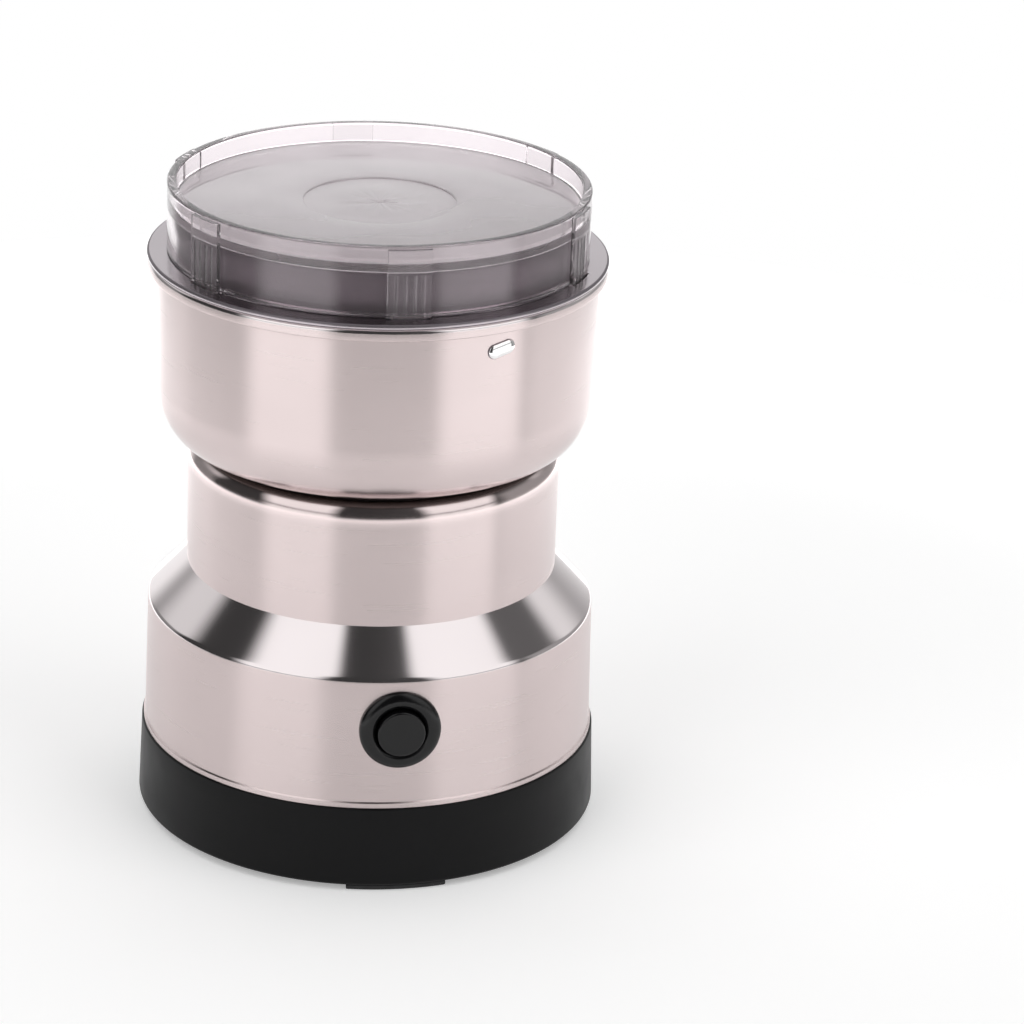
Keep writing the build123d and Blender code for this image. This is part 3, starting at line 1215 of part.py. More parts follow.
with BuildPart() as motor_shaft:
    with BuildSketch(Plane.XZ):
        half_section(
            (0, SHAFT_BOTTOM),
            (LOWER_JOURNAL - 0.4, SHAFT_BOTTOM),
            (LOWER_JOURNAL, SHAFT_BOTTOM + 0.4),
            (LOWER_JOURNAL, SHAFT_STEP),
            (SHAFT_RADIUS, SHAFT_STEP),
            (SHAFT_RADIUS, SHAFT_SHOULDER),
            (STUB_RADIUS, SHAFT_SHOULDER),
            (STUB_RADIUS, SHAFT_TOP - 0.6),
            (STUB_RADIUS - 0.6, SHAFT_TOP),
            (0, SHAFT_TOP),
        )
    revolve(axis=Axis.Z)
motor_shaft.part.label = "motor_shaft"
export_step(motor_shaft.part, "parts/motor_shaft.step")

with BuildPart() as rotor_core:
    with BuildSketch(Plane.XY.offset(STACK_BOTTOM)):
        Circle(ROTOR_RADIUS)
        Circle(SHAFT_RADIUS, mode=Mode.SUBTRACT)
        with PolarLocations((ROTOR_RADIUS + CORE_SLOT_ROOT) / 2, SLOTS):
            Rectangle(ROTOR_RADIUS - CORE_SLOT_ROOT + 0.2, CORE_SLOT_WIDTH, mode=Mode.SUBTRACT)
    extrude(amount=STACK_TOP - STACK_BOTTOM)
rotor_core.part.label = "rotor_core"
export_step(rotor_core.part, "parts/rotor_core.step")

with BuildPart() as rotor_winding:
    with BuildSketch(Plane.XZ):
        for low, high in ((COMMUTATOR_TOP, STACK_BOTTOM), (STACK_TOP, STACK_TOP + WINDING_OVERHANG)):
            half_section(
                (WINDING_HUB, low),
                (WINDING_RADIUS - 1, low),
                (WINDING_RADIUS, low + 1),
                (WINDING_RADIUS, high - 1),
                (WINDING_RADIUS - 1, high),
                (WINDING_HUB, high),
            )
    revolve(axis=Axis.Z)
    with BuildSketch(Plane.XY.offset(STACK_BOTTOM)):
        with PolarLocations((WINDING_RADIUS + CORE_SLOT_ROOT) / 2, SLOTS):
            Rectangle(WINDING_RADIUS - CORE_SLOT_ROOT - 0.4, CORE_SLOT_WIDTH - 0.2)
    extrude(amount=STACK_TOP - STACK_BOTTOM)
rotor_winding.part.label = "rotor_winding"
export_step(rotor_winding.part, "parts/rotor_winding.step")

with BuildPart() as commutator:
    with BuildSketch(Plane.XY.offset(COMMUTATOR_BOTTOM)):
        Circle(COMMUTATOR_RADIUS)
        Circle(SHAFT_RADIUS, mode=Mode.SUBTRACT)
        with PolarLocations(COMMUTATOR_RADIUS, SLOTS):
            Rectangle(1.6, 0.5, mode=Mode.SUBTRACT)
    extrude(amount=COMMUTATOR_TOP - COMMUTATOR_BOTTOM)
commutator.part.label = "commutator"
export_step(commutator.part, "parts/commutator.step")

with BuildPart() as cooling_fan:
    with BuildSketch(Plane.XY.offset(FAN_BOTTOM)):
        Circle(FAN_RADIUS)
        Circle(SHAFT_RADIUS, mode=Mode.SUBTRACT)
    extrude(amount=FAN_PLATE)
    with BuildSketch(Plane.XY.offset(FAN_BOTTOM)):
        Circle(FAN_HUB_RADIUS)
        Circle(SHAFT_RADIUS, mode=Mode.SUBTRACT)
        with PolarLocations((FAN_RADIUS + FAN_HUB_RADIUS - 0.5) / 2, FAN_BLADES):
            Rectangle(FAN_RADIUS - FAN_HUB_RADIUS + 0.5, FAN_PLATE)
    extrude(amount=FAN_TOP - FAN_BOTTOM)
cooling_fan.part.label = "cooling_fan"
export_step(cooling_fan.part, "parts/cooling_fan.step")

BUSH_BOTTOM = 103.0
BUSH_NECK_RADIUS = 5.2
BUSH_TOP = 107.4
EYELET_RADIUS = 6.2
BUSH_FLANGE_RADIUS = 6.8
SLINGER_RADIUS = 8.5
BLADE_TOP = BLADE_BOTTOM + BLADE_THICKNESS
EYELET_CREST_RADIUS = 4.9
EYELET_MOUTH = BLADE_TOP + 0.6

with BuildPart() as slinger:
    with BuildSketch(Plane.XZ):
        half_section(
            (STUB_RADIUS, SHAFT_SHOULDER),
            (SLINGER_RADIUS, SHAFT_SHOULDER),
            (SLINGER_RADIUS, SHAFT_SHOULDER + 0.6),
            (BUSH_FLANGE_RADIUS, BUSH_BOTTOM),
            (STUB_RADIUS, BUSH_BOTTOM),
        )
    revolve(axis=Axis.Z)
slinger.part.label = "slinger"
export_step(slinger.part, "parts/slinger.step")

with BuildPart() as blade_bush:
    with BuildSketch(Plane.XZ):
        with BuildLine():
            Line((STUB_RADIUS, BUSH_BOTTOM), (BUSH_FLANGE_RADIUS, BUSH_BOTTOM))
            Line((BUSH_FLANGE_RADIUS, BUSH_BOTTOM), (BUSH_FLANGE_RADIUS, BLADE_BOTTOM))
            Line((BUSH_FLANGE_RADIUS, BLADE_BOTTOM), (BUSH_NECK_RADIUS, BLADE_BOTTOM))
            Line((BUSH_NECK_RADIUS, BLADE_BOTTOM), (BUSH_NECK_RADIUS, BLADE_TOP))
            Line((BUSH_NECK_RADIUS, BLADE_TOP), (EYELET_RADIUS, BLADE_TOP))
            ThreePointArc(
                (EYELET_RADIUS, BLADE_TOP), (EYELET_CREST_RADIUS, BUSH_TOP), (STUB_RADIUS, EYELET_MOUTH)
            )
            Line((STUB_RADIUS, EYELET_MOUTH), (STUB_RADIUS, BUSH_BOTTOM))
        make_face()
    revolve(axis=Axis.Z)
blade_bush.part.label = "blade_bush"
export_step(blade_bush.part, "parts/blade_bush.step")

# Cross-shaped blade: four serrated arms, and between them four short spikes with bent tips.
BLADE_DISC = 13.2
ARM_START = 45
TIP_ROUND = 3.4
TOOTH_PITCH = 3.5
TOOTH_FIRST = 15.5
TOOTH_LOW_RADIUS = 1.2
TOOTH_HIGH_RADIUS = 2.1
TOOTH_OUTSET = 0.75
NICK_RADIUS = 1.3
NICK_PITCH = 2.8
LEADING_TEETH = [6, 5, 6, 5]
TRAILING_NICKS = [3, 5, 0, 3]
SPIKE_ROOT = 5.6            # half width where a spike leaves the disc
SPIKE_WAIST = 2.0           # half width at its bend
SPIKE_BEND = 18.0
SPIKE_TIP = 5.5
SPIKE_LIFTS = [50, 50, -35, -35]

with BuildPart() as blade:
    with BuildSketch(Plane.XY.offset(BLADE_BOTTOM)) as blank:
        Circle(BLADE_DISC)
        with PolarLocations(BLADE_REACH / 2, 4, start_angle=ARM_START):
            Rectangle(BLADE_REACH, ARM_WIDTH)
        fillet(blank.vertices().filter_by(lambda v: Vector(v.X, v.Y).length > BLADE_REACH), TIP_ROUND)
        with PolarLocations(0, 4):
            Polygon(
                (BLADE_DISC - 3, -SPIKE_ROOT),
                (SPIKE_BEND, -SPIKE_WAIST),
                (SPIKE_BEND, SPIKE_WAIST),
                (BLADE_DISC - 3, SPIKE_ROOT),
                align=None,
            )
        Circle(BUSH_NECK_RADIUS, mode=Mode.SUBTRACT)
    extrude(amount=BLADE_THICKNESS)
    for arm in range(4):
        turn = ARM_START + arm * 90
        along = Plane(origin=(0, 0, BLADE_BOTTOM), x_dir=(*around(1, turn), 0), z_dir=(0, 0, 1))
        edge = ARM_WIDTH / 2 + TOOTH_OUTSET
        with Locations(along):
            with Locations(*[(TOOTH_FIRST + tooth * TOOTH_PITCH, edge) for tooth in range(LEADING_TEETH[arm])]):
                Cone(
                    TOOTH_LOW_RADIUS,
                    TOOTH_HIGH_RADIUS,
                    BLADE_THICKNESS,
                    align=(Align.CENTER, Align.CENTER, Align.MIN),
                    mode=Mode.SUBTRACT,
                )
        last = BLADE_REACH - TIP_ROUND - 0.6
        nicks = [(last - nick * NICK_PITCH, -edge) for nick in range(TRAILING_NICKS[arm])]
        if nicks:
            with Locations(along):
                with Locations(*nicks):
                    Cylinder(
                        NICK_RADIUS,
                        BLADE_THICKNESS,
                        align=(Align.CENTER, Align.CENTER, Align.MIN),
                        mode=Mode.SUBTRACT,
                    )
    for spike, lift in enumerate(SPIKE_LIFTS):
        out = (*around(1, spike * 90), 0)
        level = (*around(1, spike * 90 + 90), 0)
        bend = (*around(SPIKE_BEND, spike * 90), BLADE_BOTTOM + BLADE_THICKNESS / 2)
        with BuildSketch(Plane(origin=bend, x_dir=out, z_dir=level)):
            Circle(BLADE_THICKNESS / 2)
        extrude(amount=SPIKE_WAIST, both=True)
        with BuildSketch(Plane(origin=bend, x_dir=out, z_dir=(0, 0, 1)).rotated((0, -lift, 0))):
            Polygon((0, -SPIKE_WAIST), (SPIKE_TIP, 0), (0, SPIKE_WAIST), align=None)
        extrude(amount=BLADE_THICKNESS / 2, both=True)
blade.part.label = "blade"
export_step(blade.part, "parts/blade.step")
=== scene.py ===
"""Looks of the spice grinder: a finish for every part, and finer pieces over its main forms."""

import json
import math

import bmesh
import bpy
from mathutils import Matrix, Vector


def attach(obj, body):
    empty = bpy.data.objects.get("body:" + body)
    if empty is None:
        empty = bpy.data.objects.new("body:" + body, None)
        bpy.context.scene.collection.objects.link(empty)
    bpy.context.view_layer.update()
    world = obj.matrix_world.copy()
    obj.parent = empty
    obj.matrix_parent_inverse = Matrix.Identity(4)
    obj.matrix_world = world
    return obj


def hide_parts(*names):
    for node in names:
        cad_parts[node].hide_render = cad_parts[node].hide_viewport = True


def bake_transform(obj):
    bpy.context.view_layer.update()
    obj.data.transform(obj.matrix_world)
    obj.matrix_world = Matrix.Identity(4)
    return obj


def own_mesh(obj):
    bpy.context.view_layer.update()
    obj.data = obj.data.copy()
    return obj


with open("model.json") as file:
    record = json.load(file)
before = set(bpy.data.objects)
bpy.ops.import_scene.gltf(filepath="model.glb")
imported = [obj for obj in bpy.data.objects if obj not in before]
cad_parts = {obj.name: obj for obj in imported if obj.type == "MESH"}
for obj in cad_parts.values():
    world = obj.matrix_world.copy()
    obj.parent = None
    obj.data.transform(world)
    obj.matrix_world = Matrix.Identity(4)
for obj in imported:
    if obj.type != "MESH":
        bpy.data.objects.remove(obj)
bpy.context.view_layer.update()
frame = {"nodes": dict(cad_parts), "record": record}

MM = 0.001
FRONT = -90                 # angle of the push button about the motor's axis, degrees
SHEET = 0.6                 # steel sheet of the bowl, cup and body
TURN_STEPS = 288            # divisions of a turned piece


# ---- short ways to build node trees
class Tree:
    """A node tree with short calls to add to it."""

    def __init__(self, tree):
        self.tree = tree
        self.tree.nodes.clear()

    def add(self, kind, inputs=None, **settings):
        """A new node. A key of inputs is a socket's name or number, and its value a number or a socket."""
        node = self.tree.nodes.new(kind)
        for key, value in settings.items():
            setattr(node, key, value)
        for key, value in (inputs or {}).items():
            if isinstance(value, bpy.types.NodeSocket):
                self.tree.links.new(value, node.inputs[key])
            else:
                node.inputs[key].default_value = value
        return node

    def calc(self, operation, first, second=0.0):
        """One step of arithmetic."""
        return self.add("ShaderNodeMath", {0: first, 1: second}, operation=operation).outputs[0]

    def times(self, first, second):
        return self.calc("MULTIPLY", first, second)

    def plus(self, first, second):
        return self.calc("ADD", first, second)

    def vector(self, operation, first, second):
        """One step of vector arithmetic."""
        return self.add("ShaderNodeVectorMath", {0: first, 1: second}, operation=operation).outputs[0]

    def fit(self, value, low, high, to_low=0.0, to_high=1.0):
        """value, eased from low..high to to_low..to_high."""
        node = self.add("ShaderNodeMapRange", {0: value, 1: low, 2: high, 3: to_low, 4: to_high})
        node.interpolation_type = "SMOOTHSTEP"
        return node.outputs[0]

    def window(self, value, low, low_ease, high, high_ease):
        """1 between low and high, easing to 0 over the widths outside them."""
        rising = self.fit(value, low - low_ease, low)
        return self.times(rising, self.fit(value, high, high + high_ease, 1.0, 0.0))

    def mix(self, factor, first, second):
        """Two numbers mixed by a factor."""
        return self.add("ShaderNodeMix", {0: factor, 2: first, 3: second}).outputs[0]

    def blend(self, factor, first, second):
        """Two colours mixed by a factor."""
        return self.add("ShaderNodeMix", {0: factor, 6: first, 7: second}, data_type="RGBA").outputs[2]

    def point(self, x=0.0, y=0.0, z=0.0):
        """A point from its three parts."""
        return self.add("ShaderNodeCombineXYZ", {0: x, 1: y, 2: z}).outputs[0]

    def parts(self, point):
        """The three parts of a point."""
        return self.add("ShaderNodeSeparateXYZ", {0: point}).outputs

    def length(self, point):
        """How far a point is from the middle of the object's foot."""
        return self.add("ShaderNodeVectorMath", {0: point}, operation="LENGTH").outputs["Value"]

    def from_axis(self, point):
        """How far a point is from the motor's axis."""
        return self.length(self.vector("MULTIPLY", point, (1.0, 1.0, 0.0)))

    def object_point(self):
        """The point on the surface, in metres from the motor's axis and the floor."""
        return self.add("ShaderNodeTexCoord").outputs["Object"]

    def noise(self, point, scale, detail=3.0, roughness=0.5, stretch=None):
        """Noise of so many waves a metre, drawn out along an axis by stretch."""
        if stretch:
            point = self.vector("MULTIPLY", point, stretch)
        inputs = {"Vector": point, "Scale": scale, "Detail": detail, "Roughness": roughness}
        return self.add("ShaderNodeTexNoise", inputs).outputs[0]

    def relief(self, height, depth, strength=1.0):
        """The surface's direction with a relief of that depth in metres."""
        inputs = {"Height": height, "Distance": depth, "Strength": strength}
        return self.add("ShaderNodeBump", inputs).outputs[0]


def material(name):
    """A new material and its tree."""
    made = bpy.data.materials.new(name)
    made.use_nodes = True
    return made, Tree(made.node_tree)


def shade(tree, colour, roughness, normal=None, tangent=None, **settings):
    """The material's shader. The keywords name its other sockets, with _ for a space."""
    inputs = {"Base Color": colour, "Roughness": roughness}
    if normal:
        inputs["Normal"] = normal
    if tangent:
        inputs["Tangent"] = tangent
    for key, value in settings.items():
        inputs[key.replace("_", " ")] = value
    shader = tree.add("ShaderNodeBsdfPrincipled", inputs)
    tree.add("ShaderNodeOutputMaterial", {"Surface": shader.outputs[0]})


def rgb(red, green, blue):
    return (red, green, blue, 1.0)


WHITE = rgb(1.0, 1.0, 1.0)


def scaled(colour, factor):
    """A colour made lighter or darker."""
    return rgb(*(channel * factor for channel in colour[:3]))


def clouded(tree, cloud, colour, dark, light, low=0.3, high=0.7):
    """A colour that a cloudy noise turns darker and lighter by these factors."""
    return tree.blend(tree.fit(cloud, low, high), scaled(colour, dark), scaled(colour, light))


# ---- finishes
def turned_point(tree):
    """Surface point for rings left by polishing: slow round the axis, quick across the rings."""
    point = tree.object_point()
    x, y, height = tree.parts(point)
    return tree.point(x, y, tree.plus(height, tree.from_axis(point)))


def round_the_axis(tree):
    """Direction of the polishing rings at a point."""
    return tree.vector("CROSS_PRODUCT", (0.0, 0.0, 1.0), tree.object_point())


SHEET_WAVES = 0.000025      # height of the slight waves left in drawn sheet, metres
# painted shade: the colour that darkens the sheet where it meets the cup's foot, and how far it covers the
# sheet at most
PAINTED_GROOVE_SHADE = rgb(0.06, 0.045, 0.04)
PAINTED_GROOVE_SHADE_COVER = 0.85


def ring_polished_steel(name, colour, roughness, anisotropic, clouds=0.03, bright=None, groove=None):
    """Stainless sheet polished round the axis, with cloudy variation and slight waves in the sheet.

    bright is (height where the drawn shine ends, height where the satin is full, shine's roughness).
    groove is (height where painted shade starts to darken the sheet, height where it is full).
    """
    made, tree = material(name)
    point = tree.object_point()
    height = tree.parts(point)[2]
    rings = tree.noise(turned_point(tree), 1.0, 2.0, 0.6, stretch=(30.0, 30.0, 1800.0))
    cloud = tree.noise(point, 40.0, 1.0, 0.5)
    shown = tree.blend(cloud, scaled(colour, 1.0 - 2.0 * clouds), scaled(colour, 1.0 + 2.0 * clouds))
    rough = tree.plus(tree.times(rings, roughness * 0.08), roughness * 0.96)
    if groove:
        # painted shade that darkens the sheet towards the groove between neck and cup
        painted_groove_shade = tree.fit(height, groove[0] * MM, groove[1] * MM, 0.0, PAINTED_GROOVE_SHADE_COVER)
        shown = tree.blend(painted_groove_shade, shown, PAINTED_GROOVE_SHADE)
    if bright:
        satin = tree.fit(height, bright[0] * MM, bright[1] * MM)
        rough = tree.mix(satin, bright[2], rough)
    normal = tree.relief(tree.noise(point, 38.0, 1.0, 0.4), SHEET_WAVES)
    brushed = {"Anisotropic": anisotropic, "Anisotropic_Rotation": 0.25}
    shade(tree, shown, rough, normal, round_the_axis(tree), Metallic=1.0, **brushed)
    return made


def moulded_plastic(name, colour, roughness, grain=0.00002, gloss=0.5):
    """Moulded plastic with a fine grain and a slight change of gloss."""
    made, tree = material(name)
    point = tree.object_point()
    broad = tree.noise(point, 90.0, 3.0, 0.5)
    rough = tree.fit(broad, 0.25, 0.75, roughness * 0.92, roughness * 1.1)
    normal = tree.relief(tree.noise(point, 2600.0, 2.0, 0.5), grain, 0.6)
    shade(tree, clouded(tree, broad, colour, 0.9, 1.12), rough, normal, Specular_IOR_Level=gloss)
    return made


def rubber(name, colour):
    """Matt rubber with a bloom."""
    made, tree = material(name)
    point = tree.object_point()
    shown = clouded(tree, tree.noise(point, 260.0, 4.0, 0.6), colour, 1.0, 1.6, 0.35)
    normal = tree.relief(tree.noise(point, 1800.0, 2.0, 0.5), 0.00003, 0.5)
    shade(tree, shown, 0.75, normal)
    return made


LID_TINT = rgb(0.965, 0.9, 0.93)
LID_CLEARNESS = 0.96
DISC_LEVELS = (0.1428, 0.1449)      # heights of the recessed disc's two faces, metres
DISC_EDGE = 0.0446
CHANNEL_FACE = 0.0472
FLOW_DEPTH = 0.0003
FLOW_SIZE = 0.006                   # how far the flow lines reach from the gate
DUST = 0.07                         # clearness that patches of dust take or leave, and the channels lose
PAINTED_BACK_LIGHT = (0.1, 0.62)               # clearness that painted light takes from the disc, at its front and at its back, lightening the disc towards its back


def clear_lid_plastic(name):
    """Clear plastic with flow lines round the gate in its middle, dust on its disc and channels, and painted
    light that makes the disc lighter towards its back.
    """
    made, tree = material(name)
    point = tree.object_point()
    x, y, level = tree.parts(point)
    angle = tree.calc("ARCTAN2", y, x)
    radius = tree.from_axis(point)
    round_gate = tree.point(tree.calc("SINE", angle), tree.calc("COSINE", angle), tree.times(radius, 25.0))
    spokes = tree.noise(round_gate, 2.4, 1.0, 0.5)
    flow = tree.times(spokes, tree.window(radius, 0.0012, 0.001, FLOW_SIZE, 0.007))
    ripple = tree.noise(point, 26.0, 1.0, 0.4)
    normal = tree.relief(tree.plus(tree.times(flow, 1.1), ripple), FLOW_DEPTH)
    haze = tree.fit(tree.noise(point, 120.0, 3.0, 0.5), 0.35, 0.75, 0.015, 0.05)
    on_disc = tree.window(level, DISC_LEVELS[0], 0.0002, DISC_LEVELS[1], 0.0002)
    on_disc = tree.times(on_disc, tree.fit(radius, DISC_EDGE, DISC_EDGE + 0.0003, 1.0, 0.0))
    dust = tree.fit(tree.noise(point, 32.0, 2.0, 0.45), 0.3, 0.7, -DUST, DUST)
    # painted light: the disc turns duller, and so lighter, towards its back
    painted_back_light = tree.fit(y, -0.045, 0.045, *PAINTED_BACK_LIGHT)
    on_channels = tree.fit(radius, CHANNEL_FACE, CHANNEL_FACE + 0.0001, 0.0, DUST)
    dull = tree.plus(tree.times(on_disc, tree.plus(dust, painted_back_light)), on_channels)
    clear = tree.calc("SUBTRACT", LID_CLEARNESS, dull)
    shade(tree, LID_TINT, haze, normal, Transmission_Weight=clear, IOR=1.49)
    return made


def ground_steel(name, colour, roughness, scratches=0.000015):
    """Rough-ground steel: mottled, with short scratches that turn round the middle and across the arms."""
    made, tree = material(name)
    point = tree.object_point()
    mottle = tree.noise(point, 700.0, 6.0, 0.7)
    patches = tree.noise(point, 130.0, 4.0, 0.6)
    along = tree.noise(point, 1.0, 3.0, 0.65, stretch=(420.0, 2300.0, 900.0))
    across = tree.noise(point, 1.0, 3.0, 0.65, stretch=(2100.0, 480.0, 900.0))
    strokes = tree.mix(tree.fit(tree.noise(point, 300.0, 2.0, 0.5), 0.4, 0.6), along, across)
    rings = tree.noise(turned_point(tree), 1.0, 3.0, 0.6, stretch=(90.0, 90.0, 2600.0))
    near_hub = tree.fit(tree.from_axis(point), 0.011, 0.017, 1.0, 0.0)
    marks = tree.fit(tree.mix(near_hub, strokes, rings), 0.3, 0.7)
    tone = tree.plus(tree.times(mottle, 0.5), tree.times(patches, 0.3))
    tone = tree.plus(tone, tree.times(marks, 0.2))
    shown = clouded(tree, tone, colour, 0.72, 1.22, 0.36, 0.66)
    rough = tree.fit(patches, 0.3, 0.7, roughness * 1.25, roughness * 0.8)
    normal = tree.relief(tree.plus(tree.times(mottle, 2.2), marks), scratches, 0.9)
    shade(tree, shown, rough, normal, Metallic=1.0)
    return made


def bright_metal(name, colour, roughness, clouds=0.06):
    """Plated or polished metal with slight staining."""
    made, tree = material(name)
    stain = tree.noise(tree.object_point(), 350.0, 4.0, 0.6)
    rough = tree.fit(stain, 0.3, 0.75, roughness * 0.8, roughness * 1.5)
    shade(tree, clouded(tree, stain, colour, 1.0 - clouds, 1.0 + clouds), rough, Metallic=1.0)
    return made


def cast_metal(name, colour):
    """Die-cast metal with the skin of its mould."""
    made, tree = material(name)
    point = tree.object_point()
    cloud = tree.noise(point, 120.0, 3.0, 0.5)
    normal = tree.relief(tree.noise(point, 900.0, 4.0, 0.6), 0.00005, 0.7)
    rough = tree.fit(cloud, 0.3, 0.7, 0.42, 0.55)
    shade(tree, clouded(tree, cloud, colour, 0.82, 1.05), rough, normal, Metallic=0.9)
    return made


def banded_metal(name, colour, bands, direction, roughness, gap):
    """Metal in thin layers or turns, so many to the metre along a direction, with dark gaps."""
    made, tree = material(name)
    point = tree.object_point()
    measure = tree.add("ShaderNodeVectorMath", {0: point, 1: direction}, operation="DOT_PRODUCT")
    along = measure.outputs["Value"]
    layer = tree.fit(tree.calc("PINGPONG", tree.times(along, bands), 0.5), 0.0, gap)
    body = clouded(tree, tree.noise(point, 200.0, 4.0, 0.6), colour, 0.85, 1.1)
    shown = tree.blend(layer, scaled(colour, 0.25), body)
    shade(tree, shown, roughness, tree.relief(layer, 0.0001, 0.7), Metallic=0.9)
    return made


def powdery(name, colour):
    """Pressed carbon: dull, with fine specks."""
    made, tree = material(name)
    specks = tree.noise(tree.object_point(), 3000.0, 3.0, 0.7)
    shade(tree, clouded(tree, specks, colour, 1.0, 3.0, 0.55), 0.6, Metallic=0.3)
    return made


SHEET_STEEL = rgb(0.68, 0.585, 0.58)
DRAWN_STEEL = rgb(0.73, 0.675, 0.68)
# dark steel that is painted shade: on the bowl's collar seen through the lid, the flange's rolled edge, the
# seam under it and round the stud's foot
PAINTED_SHADE_STEEL = rgb(0.2, 0.178, 0.195)
COPPER = rgb(0.55, 0.2, 0.07)
DRAWN_SHINE = 0.11
SATIN = 0.27
satin_steel = ring_polished_steel("satin_steel", SHEET_STEEL, SATIN, 1.0)
# groove darkens the neck's bend under the cup, and the cup's bottom by its seat, with painted shade
body_steel = ring_polished_steel(
    "body_steel", SHEET_STEEL, SATIN, 1.0, bright=(86.0, 82.5, DRAWN_SHINE), groove=(87.0, 88.4)
)
cup_steel = ring_polished_steel(
    "cup_steel", SHEET_STEEL, SATIN, 1.0, bright=(91.5, 99.0, DRAWN_SHINE), groove=(91.0, 90.3)
)
drawn_steel = ring_polished_steel("drawn_steel", DRAWN_STEEL, DRAWN_SHINE, 0.3, 0.02)
# the bowl's steel is lighter than the other sheet: painted light for the light inside the bowl under the lid
bowl_steel = ring_polished_steel("bowl_steel", rgb(0.86, 0.79, 0.81), 0.45, 0.3, 0.04)
rim_steel = ring_polished_steel("rim_steel", rgb(0.37, 0.335, 0.355), 0.2, 0.4, 0.04)
collar_steel = ring_polished_steel("collar_steel", PAINTED_SHADE_STEEL, 0.5, 0.0, 0.06)
inside_steel = ring_polished_steel("inside_steel", scaled(SHEET_STEEL, 0.9), 0.4, 0.4)
base_black = moulded_plastic("base_black", rgb(0.0045, 0.0045, 0.005), 0.4, gloss=0.15)
switch_black = moulded_plastic("switch_black", rgb(0.003, 0.003, 0.0035), 0.22, 0.00001, 0.35)
lid_clear = clear_lid_plastic("lid_clear")

FINISHES = {
    "brushed_stainless": satin_steel,
    "polished_stud": bright_metal("stud_polish", rgb(0.86, 0.85, 0.85), 0.08),
    "clear_lid": lid_clear,
    "black_base": base_black,
    "black_switch": switch_black,
    "black_rubber": rubber("foot_rubber", rgb(0.018, 0.018, 0.019)),
    "seal_rubber": rubber("seal_rubber", rgb(0.035, 0.035, 0.038)),
    "frame_plastic": moulded_plastic("frame_nylon", rgb(0.62, 0.6, 0.55), 0.5),
    "switch_body": moulded_plastic("switch_case", rgb(0.03, 0.03, 0.034), 0.45),
    "zinc_fasteners": bright_metal("zinc_plate", rgb(0.6, 0.61, 0.64), 0.28, 0.1),
    "spring_steel": bright_metal("spring_wire", rgb(0.45, 0.45, 0.47), 0.3),
    "cast_aluminium": cast_metal("cast_aluminium", rgb(0.6, 0.61, 0.63)),
    "laminated_steel": banded_metal("laminations", rgb(0.3, 0.3, 0.32), 2000.0, (0, 0, 1), 0.45, 0.12),
    "copper_winding": banded_metal("winding_wire", COPPER, 2200.0, (0.5, 0.6, 0.62), 0.35, 0.25),
    "copper_bars": bright_metal("commutator_copper", rgb(0.72, 0.38, 0.2), 0.25, 0.12),
    "brass_holders": bright_metal("drawn_brass", rgb(0.7, 0.5, 0.2), 0.28, 0.08),
    "carbon": powdery("pressed_carbon", rgb(0.02, 0.02, 0.021)),
    "bearing_steel": bright_metal("bearing_steel", rgb(0.58, 0.59, 0.61), 0.2),
    "shaft_steel": bright_metal("shaft_steel", rgb(0.55, 0.56, 0.58), 0.25),
    "fan_plastic": moulded_plastic("fan_nylon", rgb(0.06, 0.06, 0.066), 0.5),
    "blade_steel": ground_steel("blade_ground", rgb(0.6, 0.6, 0.61), 0.42),
    "bush_chrome": bright_metal("bush_polish", rgb(0.8, 0.8, 0.81), 0.1),
    "capacitor_yellow": moulded_plastic("capacitor_case", rgb(0.6, 0.36, 0.03), 0.35),
}
for part in frame["record"]["subparts"]:
    for slot in frame["nodes"][part["node"]].material_slots:
        slot.material = FINISHES[part["material_slot"]]


# ---- building pieces
def around(radius, angle):
    """The point at radius and angle about the motor's axis."""
    return radius * math.cos(math.radians(angle)), radius * math.sin(math.radians(angle))


def line(first, last, steps=1):
    """Points from first up to, but without, last."""
    points = []
    for step in range(steps):
        share = step / steps
        points.append((first[0] + (last[0] - first[0]) * share, first[1] + (last[1] - first[1]) * share))
    return points


def arc(centre, radius, start, size, steps=12, upright=None):
    """Points of an arc, in degrees, without its last point. upright is the other radius of an ellipse."""
    points = []
    for step in range(steps):
        turn = math.radians(start + size * step / steps)
        height = (upright or radius) * math.sin(turn)
        points.append((centre[0] + radius * math.cos(turn), centre[1] + height))
    return points


def finish_mesh(name, build, materials):
    """An object from a bmesh, with its doubles merged and its faces turned outwards."""
    bmesh.ops.remove_doubles(build, verts=build.verts, dist=0.000002)
    bmesh.ops.dissolve_degenerate(build, edges=build.edges, dist=0.000001)
    bmesh.ops.recalc_face_normals(build, faces=build.faces)
    mesh = bpy.data.meshes.new(name)
    build.to_mesh(mesh)
    build.free()
    for finish in materials:
        mesh.materials.append(finish)
    mesh.shade_smooth()
    piece = bpy.data.objects.new(name, mesh)
    bpy.context.scene.collection.objects.link(piece)
    return piece


def new_corner(build, radius, angle, height):
    """A corner at radius and angle about the motor's axis."""
    x, y = around(radius, angle)
    return build.verts.new((x * MM, y * MM, height * MM))


def join_loops(build, loops, closed=False, ends_meet=True, number=None):
    """Faces between each loop of corners and the next.

    closed joins the last loop to the first, and otherwise both are filled. ends_meet joins the last corner
    of a loop to its first. number(loop, corner) gives a face's material number.
    """
    count = len(loops[0])
    followers = loops[1:] + loops[:1] if closed else loops[1:]
    for step, (here, there) in enumerate(zip(loops, followers)):
        for corner in range(count if ends_meet else count - 1):
            after = (corner + 1) % count
            face = build.faces.new((here[corner], there[corner], there[after], here[after]))
            if number:
                face.material_index = number(step, corner)
    if not closed:
        build.faces.new(loops[0])
        build.faces.new(loops[-1])


